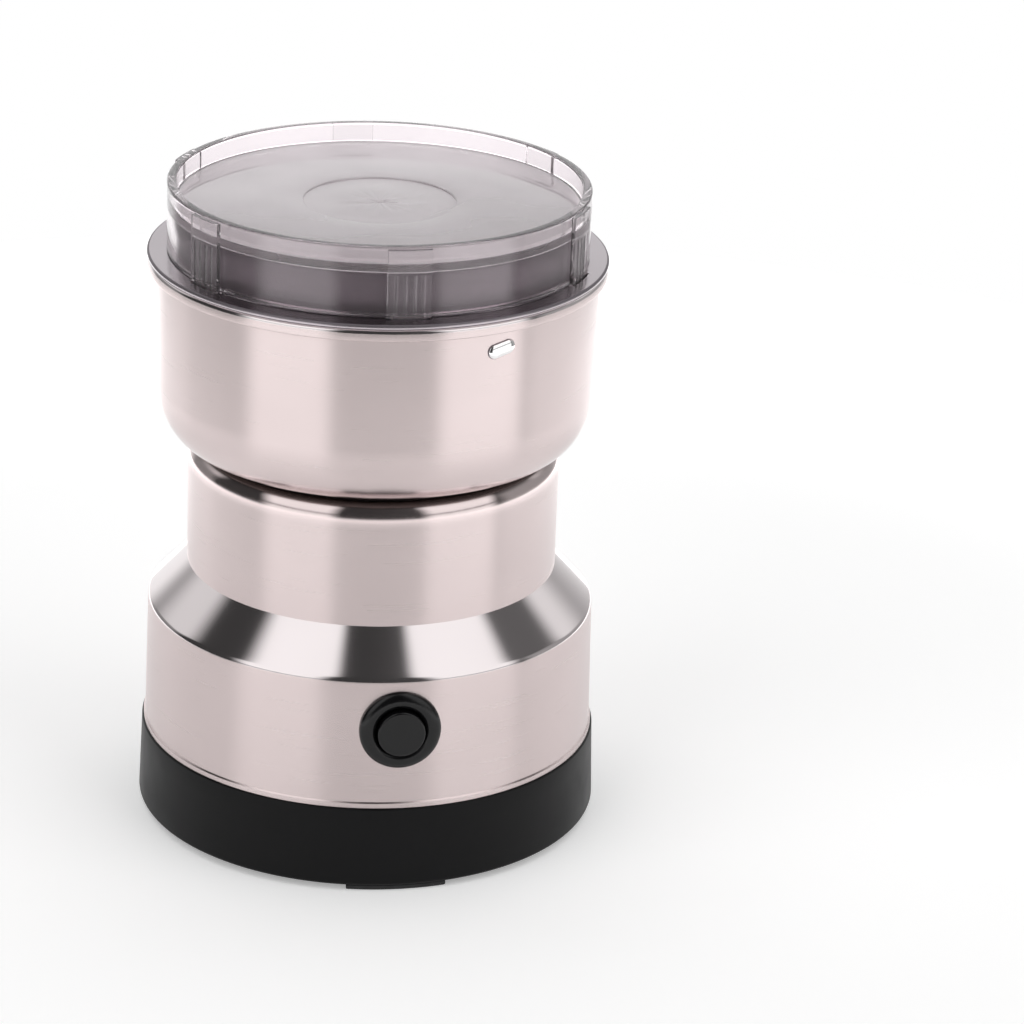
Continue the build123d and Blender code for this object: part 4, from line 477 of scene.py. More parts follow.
def turned(name, runs, materials, steps=TURN_STEPS):
    """A piece turned about the motor's axis. runs are (points, material number) round a closed outline."""
    build = bmesh.new()
    outline = []
    numbers = []
    for points, number in runs:
        outline += points
        numbers += [number] * len(points)
    loops = []
    for step in range(steps):
        angle = 360 * step / steps
        loops.append([new_corner(build, radius, angle, height) for radius, height in outline])
    solid_middle = outline[0][0] == outline[-1][0] == 0
    join_loops(build, loops, True, not solid_middle, lambda step, corner: numbers[corner])
    return finish_mesh(name, build, materials)


def sharpen(piece, angle=32):
    """Smooth shading with a crease at every bend steeper than angle."""
    piece.data.set_sharp_from_angle(angle=math.radians(angle))
    return piece


def stand(build, place, axis):
    """Moves what was made upright at the middle to place, along axis."""
    turn = Vector((0, 0, 1)).rotation_difference(Vector(axis)).to_matrix().to_4x4()
    build.transform(Matrix.Translation(Vector(place) * MM) @ turn)


def rod(radius, length, place, axis=(0, 0, 1), steps=96):
    """A plain round cutter, centred on place."""
    build = bmesh.new()
    width = radius * MM
    bmesh.ops.create_cone(
        build, cap_ends=True, segments=steps, radius1=width, radius2=width, depth=length * MM
    )
    stand(build, place, axis)
    return finish_mesh("cutter", build, [])


def sector(inner, outer, low, high, middle, half, steps=24):
    """A cutter shaped like part of a ring, half degrees each side of middle."""
    build = bmesh.new()
    section = ((inner, low), (outer, low), (outer, high), (inner, high))
    loops = []
    for step in range(steps + 1):
        angle = middle - half + 2 * half * step / steps
        loops.append([new_corner(build, radius, angle, height) for radius, height in section])
    join_loops(build, loops)
    return finish_mesh("cutter", build, [])


def apply_steps(piece):
    """Turns a piece and its modifiers into a plain mesh."""
    made = bpy.data.meshes.new_from_object(piece.evaluated_get(bpy.context.evaluated_depsgraph_get()))
    piece.modifiers.clear()
    made.name = piece.name
    piece.data = made
    return piece


def cut(piece, cutters, operation="DIFFERENCE"):
    """Takes the cutters out of a piece, or joins them to it, and removes them."""
    for cutter in cutters:
        step = piece.modifiers.new("cut", "BOOLEAN")
        step.operation = operation
        step.solver = "EXACT"
        step.object = cutter
    apply_steps(piece)
    for cutter in cutters:
        bpy.data.objects.remove(cutter)
    return piece


# ---- rules for what repeats
def rule_tree(name, **kinds):
    """A geometry tree whose inputs the keywords name, with _ for a space: group, Tree and inputs."""
    group = bpy.data.node_groups.new(name, "GeometryNodeTree")
    group.interface.new_socket("Geometry", in_out="INPUT", socket_type="NodeSocketGeometry")
    for title, kind in kinds.items():
        group.interface.new_socket(title.replace("_", " "), in_out="INPUT", socket_type="NodeSocket" + kind)
    group.interface.new_socket("Geometry", in_out="OUTPUT", socket_type="NodeSocketGeometry")
    tree = Tree(group)
    return group, tree, tree.add("NodeGroupInput").outputs


def on_a_circle(tree, count, radius, first_angle, pattern):
    """Instances of a pattern, so many on a circle about the axis, each turned to face outwards."""
    points = tree.add("GeometryNodeMeshCircle", {"Vertices": count, "Radius": radius}).outputs[0]
    order = tree.add("GeometryNodeInputIndex").outputs[0]
    angle = tree.calc("DIVIDE", tree.times(order, math.tau), count)
    facing = tree.add("FunctionNodeEulerToRotation", {0: tree.point(z=angle)}).outputs[0]
    inputs = {"Points": points, "Instance": pattern, "Rotation": facing}
    placed = tree.add("GeometryNodeInstanceOnPoints", inputs).outputs[0]
    turned_by = {"Geometry": placed, "Rotation": tree.point(z=first_angle)}
    return tree.add("GeometryNodeTransform", turned_by).outputs[0]


def joined(tree, *shapes):
    """Several shapes as one."""
    join = tree.add("GeometryNodeJoinGeometry")
    for shape in shapes:
        tree.tree.links.new(shape, join.inputs[0])
    return join.outputs[0]


def end_tree(tree, shape, finish):
    """Ends a tree with real geometry of one finish."""
    real = tree.add("GeometryNodeRealizeInstances", {"Geometry": shape}).outputs[0]
    done = tree.add("GeometryNodeSetMaterial", {"Geometry": real, "Material": finish}).outputs[0]
    tree.add("NodeGroupOutput", {"Geometry": done})


def repeat_rule():
    """Copies of one pattern on a circle about the motor's axis."""
    kinds = {"Pattern": "Object", "Count": "Int", "Circle_Radius": "Float", "First_Angle": "Float"}
    group, tree, given = rule_tree("copies_on_a_circle", **kinds, Finish="Material")
    pattern = tree.add("GeometryNodeObjectInfo", {"Object": given["Pattern"]}).outputs["Geometry"]
    placed = on_a_circle(tree, given["Count"], given["Circle Radius"], given["First Angle"], pattern)
    end_tree(tree, placed, given["Finish"])
    return group


def vent_rule():
    """A round plate with slots through it that point at its middle."""
    plate = {"Plate_Radius": "Float", "Bottom": "Float", "Thickness": "Float"}
    slots = {"Slots": "Int", "Slot_Length": "Float", "Slot_Width": "Float", "Slot_Circle": "Float"}
    group, tree, given = rule_tree("slotted_plate", **plate, **slots, Finish="Material")
    edge = {"Radius": given["Plate Radius"], "Resolution": 256}
    rim = tree.add("GeometryNodeCurvePrimitiveCircle", edge).outputs[0]
    box = {"Width": given["Slot Length"], "Height": given["Slot Width"]}
    slot = tree.add("GeometryNodeCurvePrimitiveQuadrilateral", box).outputs[0]
    round_end = {"Curve": slot, "Radius": tree.times(given["Slot Width"], 0.499), "Count": 8}
    slot = tree.add("GeometryNodeFilletCurve", round_end, mode="POLY").outputs[0]
    ring = on_a_circle(tree, given["Slots"], given["Slot Circle"], 0.0, slot)
    ring = tree.add("GeometryNodeRealizeInstances", {"Geometry": ring}).outputs[0]
    outlines = joined(tree, rim, ring)
    flat = tree.add("GeometryNodeFillCurve", {"Curve": outlines}, mode="TRIANGLES").outputs[0]
    raised = {"Mesh": flat, "Offset": tree.point(z=given["Thickness"]), "Individual": False}
    top = tree.add("GeometryNodeExtrudeMesh", raised).outputs[0]
    under = tree.add("GeometryNodeFlipFaces", {"Mesh": flat}).outputs[0]
    merging = {"Geometry": joined(tree, top, under), "Distance": 0.000001}
    closed = tree.add("GeometryNodeMergeByDistance", merging).outputs[0]
    lift = {"Geometry": closed, "Translation": tree.point(z=given["Bottom"])}
    end_tree(tree, tree.add("GeometryNodeTransform", lift).outputs[0], given["Finish"])
    return group


def follow(name, rule, **sizes):
    """A piece made by a rule. The keywords name its inputs, with _ for a space."""
    piece = bpy.data.objects.new(name, bpy.data.meshes.new(name))
    bpy.context.scene.collection.objects.link(piece)
    step = piece.modifiers.new("rule", "NODES")
    step.node_group = rule
    for socket in rule.interface.items_tree:
        key = socket.name.replace(" ", "_")
        if socket.in_out == "INPUT" and key in sizes:
            step[socket.identifier] = sizes[key]
    return apply_steps(piece)


COPIES = repeat_rule()
SLOTTED_PLATE = vent_rule()


def copies(name, pattern, count, radius, first_angle, finish):
    """One piece of so many copies of a pattern about the motor's axis. The pattern is removed."""
    places = {"Count": count, "Circle_Radius": radius * MM, "First_Angle": math.radians(first_angle)}
    piece = follow(name, COPIES, Pattern=pattern, Finish=finish, **places)
    bpy.data.objects.remove(pattern)
    return piece


SUPPORT_SCREWS = 4
SUPPORT_CIRCLE = 31.0
SUPPORT_START = 22.5
SUPPORT_HOLE = 2.1


def support_holes(height):
    """Cutters for the holes of the screws that hold the cup on the body."""
    holes = []
    for screw in range(SUPPORT_SCREWS):
        place = around(SUPPORT_CIRCLE, SUPPORT_START + screw * 360 / SUPPORT_SCREWS)
        holes.append(rod(SUPPORT_HOLE, 3.0, (*place, height)))
    return holes


# ---- body: tapered wall, shoulder, neck
BODY_LOW = (51.7, 20.0)
SHOULDER = (51.1, 49.8)
SHOULDER_BEND = 2.0         # radius of the crease under the shoulder's cone
SHOULDER_LEAN = 44          # how far the cone faces upwards, degrees
SATIN_TOP = 12              # the satin ends where the crease faces so far upwards, degrees
NECK_RADIUS = 42.2
NECK_TOP = 89.4
NECK_BEND = 4.8
CENTRE_HOLE = 14.0
BEAD = (52.0, 21.2)         # radius and top of the bead at the foot of the wall
BEAD_EDGE = 0.15
BUTTON_HEIGHT = 38.9
BUTTON_HOLE = (7.6, 14.0)   # radius and length
HOLE_MIDDLE = -48.0


def on_cone(inset, distance):
    """The point so far up the shoulder's cone, measured from the crease under it."""
    lean = math.radians(SHOULDER_LEAN)
    bend = SHOULDER_BEND - inset
    radius = SHOULDER[0] - SHOULDER_BEND + bend * math.cos(lean) - distance * math.sin(lean)
    height = SHOULDER[1] + bend * math.sin(lean) + distance * math.cos(lean)
    return radius, height


def cone_length(inset):
    """Length of the shoulder's cone, from its crease to the neck."""
    return (on_cone(inset, 0)[0] - NECK_RADIUS + inset) / math.sin(math.radians(SHOULDER_LEAN))


def body():
    bend = NECK_BEND
    crown = (NECK_RADIUS - bend, NECK_TOP - bend)
    crease = (SHOULDER[0] - SHOULDER_BEND, SHOULDER[1])
    neck_foot = on_cone(0, cone_length(0))
    neck_foot_in = on_cone(SHEET, cone_length(SHEET))
    foot = BODY_LOW[1]
    inner_low = (BODY_LOW[0] - SHEET, foot)
    under = NECK_TOP - SHEET
    runs = [
        ([inner_low, (BEAD[0] - BEAD_EDGE, foot), (BEAD[0], foot + BEAD_EDGE)], 0),
        ([BEAD, (BEAD[0] - 0.12, BEAD[1] + 0.12)], 0),
        (line((BODY_LOW[0] - 0.02, foot + 1.5), SHOULDER, 10), 0),
        (arc(crease, SHOULDER_BEND, 0, SATIN_TOP, 2), 0),
        (arc(crease, SHOULDER_BEND, SATIN_TOP, SHOULDER_LEAN - SATIN_TOP, 12), 1),
        (line(on_cone(0, 0), neck_foot, 10), 1),
        (line(neck_foot, (NECK_RADIUS, crown[1]), 8), 0),
        (arc(crown, bend, 0, 90, 16), 0),
        (line((crown[0], NECK_TOP), (CENTRE_HOLE, NECK_TOP), 2) + [(CENTRE_HOLE, NECK_TOP)], 2),
        (line((CENTRE_HOLE, under), (crown[0], under), 2), 2),
        (arc(crown, bend - SHEET, 90, -90, 12), 2),
        (line((NECK_RADIUS - SHEET, crown[1]), neck_foot_in, 4), 2),
        (line(neck_foot_in, on_cone(SHEET, 0), 4), 2),
        (arc(crease, SHOULDER_BEND - SHEET, SHOULDER_LEAN, -SHOULDER_LEAN, 6), 2),
        (line((SHOULDER[0] - SHEET, SHOULDER[1]), inner_low, 4), 2),
    ]
    piece = turned("steel_body", runs, [body_steel, drawn_steel, inside_steel])
    bore = rod(*BUTTON_HOLE, (0, HOLE_MIDDLE, BUTTON_HEIGHT), (0, 1, 0))
    cut(piece, [bore] + support_holes(NECK_TOP))
    return sharpen(piece)


steel_body = body()
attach(steel_body, "housing")
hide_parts("body_shell")


# ---- cup: rounded bottom, wall and lip
CUP_BOTTOM = 90.0
CUP_SEAT = 41.5
CUP_CORNER = 103.9
CUP_RADIUS = 49.3
CUP_TOP_RADIUS = 49.5
LIP_BOTTOM = 129.3
LIP_RADIUS = 51.3
LIP_ROUND = 0.35
LIP_CROWN = 0.9             # rounding of the lip's top
SEAM = 132.0


def cup():
    corner = (CUP_SEAT, CUP_CORNER)
    run = CUP_RADIUS - CUP_SEAT
    rise = CUP_CORNER - CUP_BOTTOM
    floor = CUP_BOTTOM + SHEET
    lip = (LIP_RADIUS - LIP_ROUND, LIP_BOTTOM + LIP_ROUND)
    crown = (LIP_RADIUS - LIP_CROWN, SEAM - LIP_CROWN)
    inner = CUP_TOP_RADIUS - SHEET
    runs = [
        (line((CENTRE_HOLE, CUP_BOTTOM), (CUP_SEAT, CUP_BOTTOM), 2), 0),
        (arc(corner, run, 270, 90, 32, rise), 0),
        (line((CUP_RADIUS, CUP_CORNER), (CUP_TOP_RADIUS, LIP_BOTTOM), 10), 0),
        ([(CUP_TOP_RADIUS, LIP_BOTTOM)] + arc(lip, LIP_ROUND, 270, 90, 5), 0),
        (line((LIP_RADIUS, lip[1]), (LIP_RADIUS, crown[1]), 2), 0),
        (arc(crown, LIP_CROWN, 0, 90, 8), 1),
        ([(crown[0], SEAM)], 1),
        (line((inner, SEAM), (CUP_RADIUS - SHEET, CUP_CORNER), 4), 2),
        (arc(corner, run - SHEET, 0, -90, 20, rise - SHEET), 2),
        (line((CUP_SEAT, floor), (CENTRE_HOLE, floor), 2), 2),
    ]
    piece = turned("steel_cup", runs, [cup_steel, drawn_steel, inside_steel])
    cut(piece, support_holes(CUP_BOTTOM))
    return sharpen(piece)


steel_cup = cup()
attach(steel_cup, "housing")
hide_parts("cup_shell")

GASKET_INNER = 20.0
GASKET_SQUEEZED = 39.9      # where the cup's weight pushes the gasket out over the neck's bend
GASKET_LIP = 0.45
GASKET_GAP = 0.02


def gasket():
    """Flat rubber ring between neck and cup, squeezed out to a thin lip."""
    flat = NECK_RADIUS - NECK_BEND - 0.2
    low = NECK_TOP + GASKET_GAP
    high = CUP_BOTTOM - GASKET_GAP
    root = GASKET_SQUEEZED - GASKET_LIP
    outline = line((GASKET_INNER, low), (flat, low), 3)
    outline += [(flat, low)]
    outline += arc((root, NECK_TOP + 0.05), GASKET_LIP, 270, 90, 6)
    outline += [(GASKET_SQUEEZED, NECK_TOP + 0.05)]
    outline += line((GASKET_SQUEEZED - 0.1, high), (GASKET_INNER, high), 3)
    piece = turned("gasket_ring", [(outline, 0)], [FINISHES["seal_rubber"]])
    cut(piece, support_holes(NECK_TOP))
    return sharpen(piece)


gasket_ring = gasket()
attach(gasket_ring, "housing")
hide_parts("neck_gasket")


# ---- polished stud near the cup's lip
STUD_ANGLE = -65.4
STUD_HEIGHT = 125.1
STUD_LENGTH = 6.8
STUD_WIDTH = 3.4
STUD_TILT = 11.0
STUD_FACE = 50.2            # how far the middle of its face is from the motor's axis
STUD_WALL = 49.3            # and its foot, just under the cup's wall
STUD_ROOT = 0.8             # how deep it goes into the wall
STUD_DOME = 0.7             # 1 for a round dome, less for a flatter one
STUD_RINGS = 14
STUD_SHADED = 3             # rings at its foot in painted shade


def slot_ring(length, width, steps=48):
    """Points round a slot with round ends, about its middle."""
    points = []
    half = (length - width) / 2
    for step in range(steps):
        turn = math.tau * (step + 0.5) / steps
        shift = math.copysign(half, math.cos(turn))
        points.append((shift + width / 2 * math.cos(turn), width / 2 * math.sin(turn)))
    return points


def stud():
    """A domed slot-shaped stud that stands out of the cup's wall."""
    build = bmesh.new()
    outwards = Vector((*around(1, STUD_ANGLE), 0))
    level = Vector((*around(1, STUD_ANGLE + 90), 0))
    up = Vector((0, 0, 1))
    tilt = math.radians(STUD_TILT)
    along = level * math.cos(tilt) + up * math.sin(tilt)
    across = up * math.cos(tilt) - level * math.sin(tilt)
    rings = []
    for ring in range(STUD_RINGS):
        turn = math.radians(90 * ring / STUD_RINGS)
        inset = (1 - math.cos(turn)) * STUD_WIDTH / 2
        foot = STUD_WALL - STUD_ROOT + STUD_ROOT * min(1, ring)
        middle = up * STUD_HEIGHT + outwards * (foot + (STUD_FACE - STUD_WALL) * math.sin(turn) ** STUD_DOME)
        loop = []
        for x, y in slot_ring(STUD_LENGTH - 2 * inset, STUD_WIDTH - 2 * inset):
            loop.append(build.verts.new((middle + along * x + across * y) * MM))
        rings.append(loop)
    # the rings at the stud's foot take the dark steel as a painted shade outline
    join_loops(build, rings, number=lambda ring, corner: 1 if ring < STUD_SHADED else 0)
    return sharpen(finish_mesh("polished_stud", build, [FINISHES["polished_stud"], collar_steel]), 50)


polished_stud = stud()
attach(polished_stud, "housing")
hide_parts("cup_stud")


# ---- grinding bowl with its rolled flange
BOWL_RADIUS = 43.4
BOWL_FLOOR = 100.0
BOWL_CORNER = 10.0
HUB_RADIUS = 9.0
COLLAR_RADIUS = 44.6
COLLAR_TOP = 142.8
COLLAR_ROOT = 0.5
FLANGE_TOP = 133.3
FLANGE_RADIUS = 51.45
FLANGE_ROUND = 0.45
HEM_ROUND = 0.3
FLANGE_FALL = 0.15
HEM_INNER = 49.9
CHANNELS = 6
LUG_SLOT = (45.15, 48.3)    # inner and outer radius of the flange's slots for the lid's lugs
LUG_SLOT_DEPTH = 1.2
LUG_SLOT_HALF = 5.9


def bowl():
    flat = BOWL_RADIUS - BOWL_CORNER
    corner = BOWL_FLOOR + BOWL_CORNER
    wall = BOWL_RADIUS + SHEET
    hem = COLLAR_RADIUS - wall
    hem_middle = COLLAR_TOP - hem
    edge = FLANGE_TOP - FLANGE_FALL
    under = FLANGE_TOP - SHEET
    roll = (FLANGE_RADIUS - FLANGE_ROUND, edge - FLANGE_ROUND)
    turn_in = (FLANGE_RADIUS - HEM_ROUND, SEAM + HEM_ROUND)
    root = (COLLAR_RADIUS + COLLAR_ROOT, FLANGE_TOP + COLLAR_ROOT)
    below = BOWL_FLOOR - SHEET
    runs = [
        (line((HUB_RADIUS, BOWL_FLOOR), (flat, BOWL_FLOOR), 6), 0),
        (arc((flat, corner), BOWL_CORNER, 270, 90, 20), 0),
        (line((BOWL_RADIUS, corner), (BOWL_RADIUS, hem_middle), 10), 0),
        (arc((wall, hem_middle), hem, 180, -180, 12), 3),
        (line((COLLAR_RADIUS, hem_middle), (COLLAR_RADIUS, root[1]), 4), 3),
        (arc(root, COLLAR_ROOT, 180, 90, 6), 2),
        (line((root[0], FLANGE_TOP), (roll[0], edge), 4), 2),
        (arc(roll, FLANGE_ROUND, 90, -90, 8), 3),
        ([(FLANGE_RADIUS, roll[1])], 2),
        (arc(turn_in, HEM_ROUND, 0, -90, 5), 3),
        ([(turn_in[0], SEAM), (HEM_INNER, SEAM), (HEM_INNER, under)], 0),
        (line((wall, under), (wall, corner), 6), 0),
        (arc((flat, corner), BOWL_CORNER + SHEET, 0, -90, 16), 0),
        (line((flat, below), (HUB_RADIUS, below), 4) + [(HUB_RADIUS, below)], 0),
    ]
    # material 3, the dark steel, paints shade on the collar, the flange's rolled edge and the seam under it
    piece = turned("steel_bowl", runs, [bowl_steel, drawn_steel, rim_steel, collar_steel])
    slots = []
    for channel in range(CHANNELS):
        middle = FRONT + channel * 360 / CHANNELS
        slots.append(sector(*LUG_SLOT, FLANGE_TOP - LUG_SLOT_DEPTH, FLANGE_TOP + 0.4, middle, LUG_SLOT_HALF))
    cut(piece, slots)
    return sharpen(piece)


steel_bowl = bowl()
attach(steel_bowl, "housing")
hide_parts("grinding_bowl")


# ---- clear lid with fluted channels
LID_RADIUS = 47.1
LID_SKIRT = 45.0
LID_BOTTOM = 133.4
DISC_BOTTOM = 143.1
DISC_TOP = 144.7
DISC_ROUND = 0.3
LID_RIM = 149.1
RIM_ROUND = 0.5
CENTRE_STEP_RADIUS = 17.3
CENTRE_STEP = 0.4
CHANNEL_RADIUS = 48.0
CHANNEL_HALF = 5.65
CHANNEL_FLANK = 0.12        # width of a channel's slanted side, degrees
CHANNEL_STEPS = 88
PLAIN_STEPS = 30
CHANNEL_TOP = 148.6
LUG_INNER = 45.45
LUG_OUTER = 47.75
LUG_HALF = 4.6
LUG_BOTTOM = LID_BOTTOM - 1.5
FLUTE_RADIUS = 0.45
FLUTE_CIRCLE = 48.15
FLUTE_PITCH = 2.4
FLUTES = 4
LID_EDGE = 0.15             # small rounds on the lid's lower edges


def lid_angles():
    """Angles of the lid's sections, close together across each channel."""
    angles = []
    pitch = 360 / CHANNELS
    gap = pitch - 2 * CHANNEL_HALF
    for channel in range(CHANNELS):
        middle = FRONT + channel * pitch
        angles += [middle - CHANNEL_HALF - CHANNEL_FLANK, middle + CHANNEL_HALF + CHANNEL_FLANK]
        for step in range(CHANNEL_STEPS + 1):
            angles.append(middle - CHANNEL_HALF + 2 * CHANNEL_HALF * step / CHANNEL_STEPS)
        for step in range(1, PLAIN_STEPS):
            angles.append(middle + CHANNEL_HALF + gap * step / PLAIN_STEPS)
    return sorted(angles)


def from_channel(angle):
    """Degrees from the middle of the nearest channel."""
    pitch = 360 / CHANNELS
    return (angle - FRONT + pitch / 2) % pitch - pitch / 2


def fluted_radius(offset):
    """Outside of a channel where the flutes run."""
    radius = CHANNEL_RADIUS
    for flute in range(FLUTES):
        away = offset - (flute - (FLUTES - 1) / 2) * FLUTE_PITCH
        ahead, sideways = around(FLUTE_CIRCLE, away)
        if abs(sideways) < FLUTE_RADIUS:
            radius = min(radius, ahead - math.sqrt(FLUTE_RADIUS**2 - sideways**2))
    return radius


def lid_section(angle):
    """The lid's closed outline at an angle, the same number of points at each."""
    offset = from_channel(angle)
    in_channel = abs(offset) <= CHANNEL_HALF + 0.001
    side = CHANNEL_RADIUS if in_channel else LID_RADIUS
    low_side = fluted_radius(offset) if in_channel else LID_RADIUS
    lug_low = LUG_BOTTOM if abs(offset) <= LUG_HALF else LID_BOTTOM
    lug_out = min(LUG_OUTER, low_side)
    corner = LID_SKIRT - DISC_ROUND
    rim = LID_RIM - RIM_ROUND
    dip = CENTRE_STEP_RADIUS - CENTRE_STEP
    floor = DISC_TOP - CENTRE_STEP
    points = [(0, DISC_BOTTOM)]
    points += line((20, DISC_BOTTOM), (corner, DISC_BOTTOM), 3)
    points += arc((corner, DISC_BOTTOM - DISC_ROUND), DISC_ROUND, 90, -90, 5)
    points += line((LID_SKIRT, DISC_BOTTOM - DISC_ROUND), (LID_SKIRT, LID_BOTTOM + LID_EDGE), 3)
    points += [(LID_SKIRT, LID_BOTTOM + LID_EDGE)]
    points += [(LUG_INNER, LID_BOTTOM), (LUG_INNER, lug_low), (lug_out, lug_low), (lug_out, LID_BOTTOM)]
    points += [(low_side - LID_EDGE, LID_BOTTOM), (low_side, LID_BOTTOM + LID_EDGE)]
    points += line((low_side, LID_BOTTOM + 1.5), (low_side, DISC_BOTTOM), 3)
    points += [(low_side, DISC_BOTTOM), (side, DISC_BOTTOM)]
    points += line((side, DISC_BOTTOM + 0.5), (side, CHANNEL_TOP - LID_EDGE), 3)
    points += [(side, CHANNEL_TOP - LID_EDGE), (max(LID_RADIUS, side - LID_EDGE), CHANNEL_TOP)]
    points += arc((LID_RADIUS - RIM_ROUND, rim), RIM_ROUND, 0, 90, 7)
    points += arc((LID_SKIRT + RIM_ROUND, rim), RIM_ROUND, 90, 90, 7)
    points += line((LID_SKIRT, rim), (LID_SKIRT, DISC_TOP + DISC_ROUND), 3)
    points += arc((corner, DISC_TOP + DISC_ROUND), DISC_ROUND, 0, -90, 5)
    points += line((corner, DISC_TOP), (CENTRE_STEP_RADIUS, DISC_TOP), 5)
    points += arc((CENTRE_STEP_RADIUS, floor), -CENTRE_STEP, 90, -90, 5, CENTRE_STEP)
    points += line((dip, floor), (0, floor), 4)
    return points + [(0, floor)]


def lid():
    build = bmesh.new()
    sections = []
    for angle in lid_angles():
        sections.append([new_corner(build, radius, angle, height) for radius, height in lid_section(angle)])
    join_loops(build, sections, closed=True, ends_meet=False)
    return sharpen(finish_mesh("lid_moulding", build, [lid_clear]), 28)


lid_moulding = lid()
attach(lid_moulding, "lid")
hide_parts("lid_cover")


# ---- black base, feet and vented cover
BASE_BOTTOM = 1.2
BASE_LOW_RADIUS = 53.05
BASE_TOP_RADIUS = 52.4
BASE_TOP = 20.0
BASE_ROUND = 1.0
BASE_EDGE = 0.3
BASE_INSIDE = 50.2
SPIGOT = (50.7, 48.9, 26.0)         # outer radius, inner radius and top of the upstand inside the body
SPIGOT_FOOT = (2.0, 3.5)            # how far below the base's top its inside starts to widen, and ends
LEDGE = (41.0, 6.0)                 # inner radius and top of the ledge that the cover's screws pull on
COVER_RADIUS = 43.8
COVER_TOP = 4.0
FOOT_COUNT = 3
FOOT_HALF = 12.5
FOOT_RADII = (44.8, 52.3)
FOOT_EDGE = 0.35
FOOT_PLUG_RADII = (46.3, 50.3)
FOOT_PLUG_HALF = 8.0
FOOT_PLUG_TOP = 3.0
GRIP_GROOVES = 6
GROOVE_PITCH = 3.6                  # degrees, as is its half width
GROOVE_HALF = 0.5
GROOVE_DEPTH = 0.35
GROOVE_END = 0.9
GLAND_HEIGHT = 11.25
GLAND_SEAT = 52.2
GLAND_SPOT = 6.4
GLAND_NECK = 4.3


def base():
    low = BASE_LOW_RADIUS - BASE_ROUND
    rounded = BASE_BOTTOM + BASE_ROUND
    shoulder = (BASE_TOP_RADIUS - BASE_EDGE, BASE_TOP - BASE_EDGE)
    outside, inside, top = SPIGOT
    outline = line((COVER_RADIUS, BASE_BOTTOM), (low, BASE_BOTTOM), 3)
    outline += arc((low, rounded), BASE_ROUND, 270, 90, 8)
    outline += line((BASE_LOW_RADIUS, rounded), (BASE_TOP_RADIUS, shoulder[1]), 4)
    outline += arc(shoulder, BASE_EDGE, 0, 90, 4)
    outline += [(shoulder[0], BASE_TOP), (outside, BASE_TOP), (outside, top), (inside, top)]
    outline += [(inside, BASE_TOP - SPIGOT_FOOT[0]), (BASE_INSIDE, BASE_TOP - SPIGOT_FOOT[1])]
    outline += [(BASE_INSIDE, LEDGE[1]), LEDGE, (LEDGE[0], COVER_TOP), (COVER_RADIUS, COVER_TOP)]
    piece = turned("base_moulding", [(outline, 0)], [base_black])
    holes = [
        rod(GLAND_SPOT, 2.0, (0, GLAND_SEAT + 1.0, GLAND_HEIGHT), (0, 1, 0)),
        rod(GLAND_NECK, 6.0, (0, GLAND_SEAT, GLAND_HEIGHT), (0, 1, 0)),
    ]
    for foot in range(FOOT_COUNT):
        middle = FRONT + foot * 360 / FOOT_COUNT
        plug = sector(*FOOT_PLUG_RADII, BASE_BOTTOM - 1.0, FOOT_PLUG_TOP, middle, FOOT_PLUG_HALF)
        holes.append(plug)
    return sharpen(cut(piece, holes))


base_moulding = base()
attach(base_moulding, "housing")
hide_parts("base_ring")


def feet():
    """Three rubber feet with grip grooves, each with a plug that holds it in the base."""
    pad = sector(*FOOT_RADII, 0.0, BASE_BOTTOM, 0, FOOT_HALF, 32)
    edge = pad.modifiers.new("edge", "BEVEL")
    edge.width = FOOT_EDGE * MM
    edge.segments = 3
    edge.limit_method = "ANGLE"
    apply_steps(pad)
    ends = (FOOT_RADII[0] + GROOVE_END, FOOT_RADII[1] - GROOVE_END)
    grooves = []
    for groove in range(GRIP_GROOVES):
        angle = (groove - (GRIP_GROOVES - 1) / 2) * GROOVE_PITCH
        grooves.append(sector(*ends, -0.5, GROOVE_DEPTH, angle, GROOVE_HALF, 2))
    cut(pad, grooves)
    cut(pad, [sector(*FOOT_PLUG_RADII, BASE_BOTTOM / 2, FOOT_PLUG_TOP, 0, FOOT_PLUG_HALF)], "UNION")
    return sharpen(copies("rubber_feet", pad, FOOT_COUNT, 0.0, FRONT, FINISHES["black_rubber"]))


rubber_feet = feet()
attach(rubber_feet, "housing")
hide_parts("feet")

VENTS = 20
VENT_SIZE = (14.0, 2.2)
VENT_CIRCLE = 22.0
POST_CIRCLE = 36.0
POSTS = 4
POST_START = 45
BORE_RADIUS = 3.6
BORE_TOP = 2.9
HEAD_RADIUS = 3.2
HEAD_HEIGHT = 1.5
HEAD_EDGE = 0.5             # height of the straight side of a head
SHANK_RADIUS = 1.6
SCREW_LENGTH = 14.0
SCREW_TIP = (0.6, 1.0)      # radius and length of the screws' points
RECESS_WIDTH = 3.6
RECESS_DEPTH = 1.0
RECESS_ARM = 0.22           # thickness of the cross, as a share of its width
RECESS_TAPER = 0.45
CLAMP_PLACE = (8.0, 34.0)
CLAMP_TOP = 14.5
CLAMP_BOSS = 3.0
CLAMP_BORE = (1.25, 9.0)    # radius and length


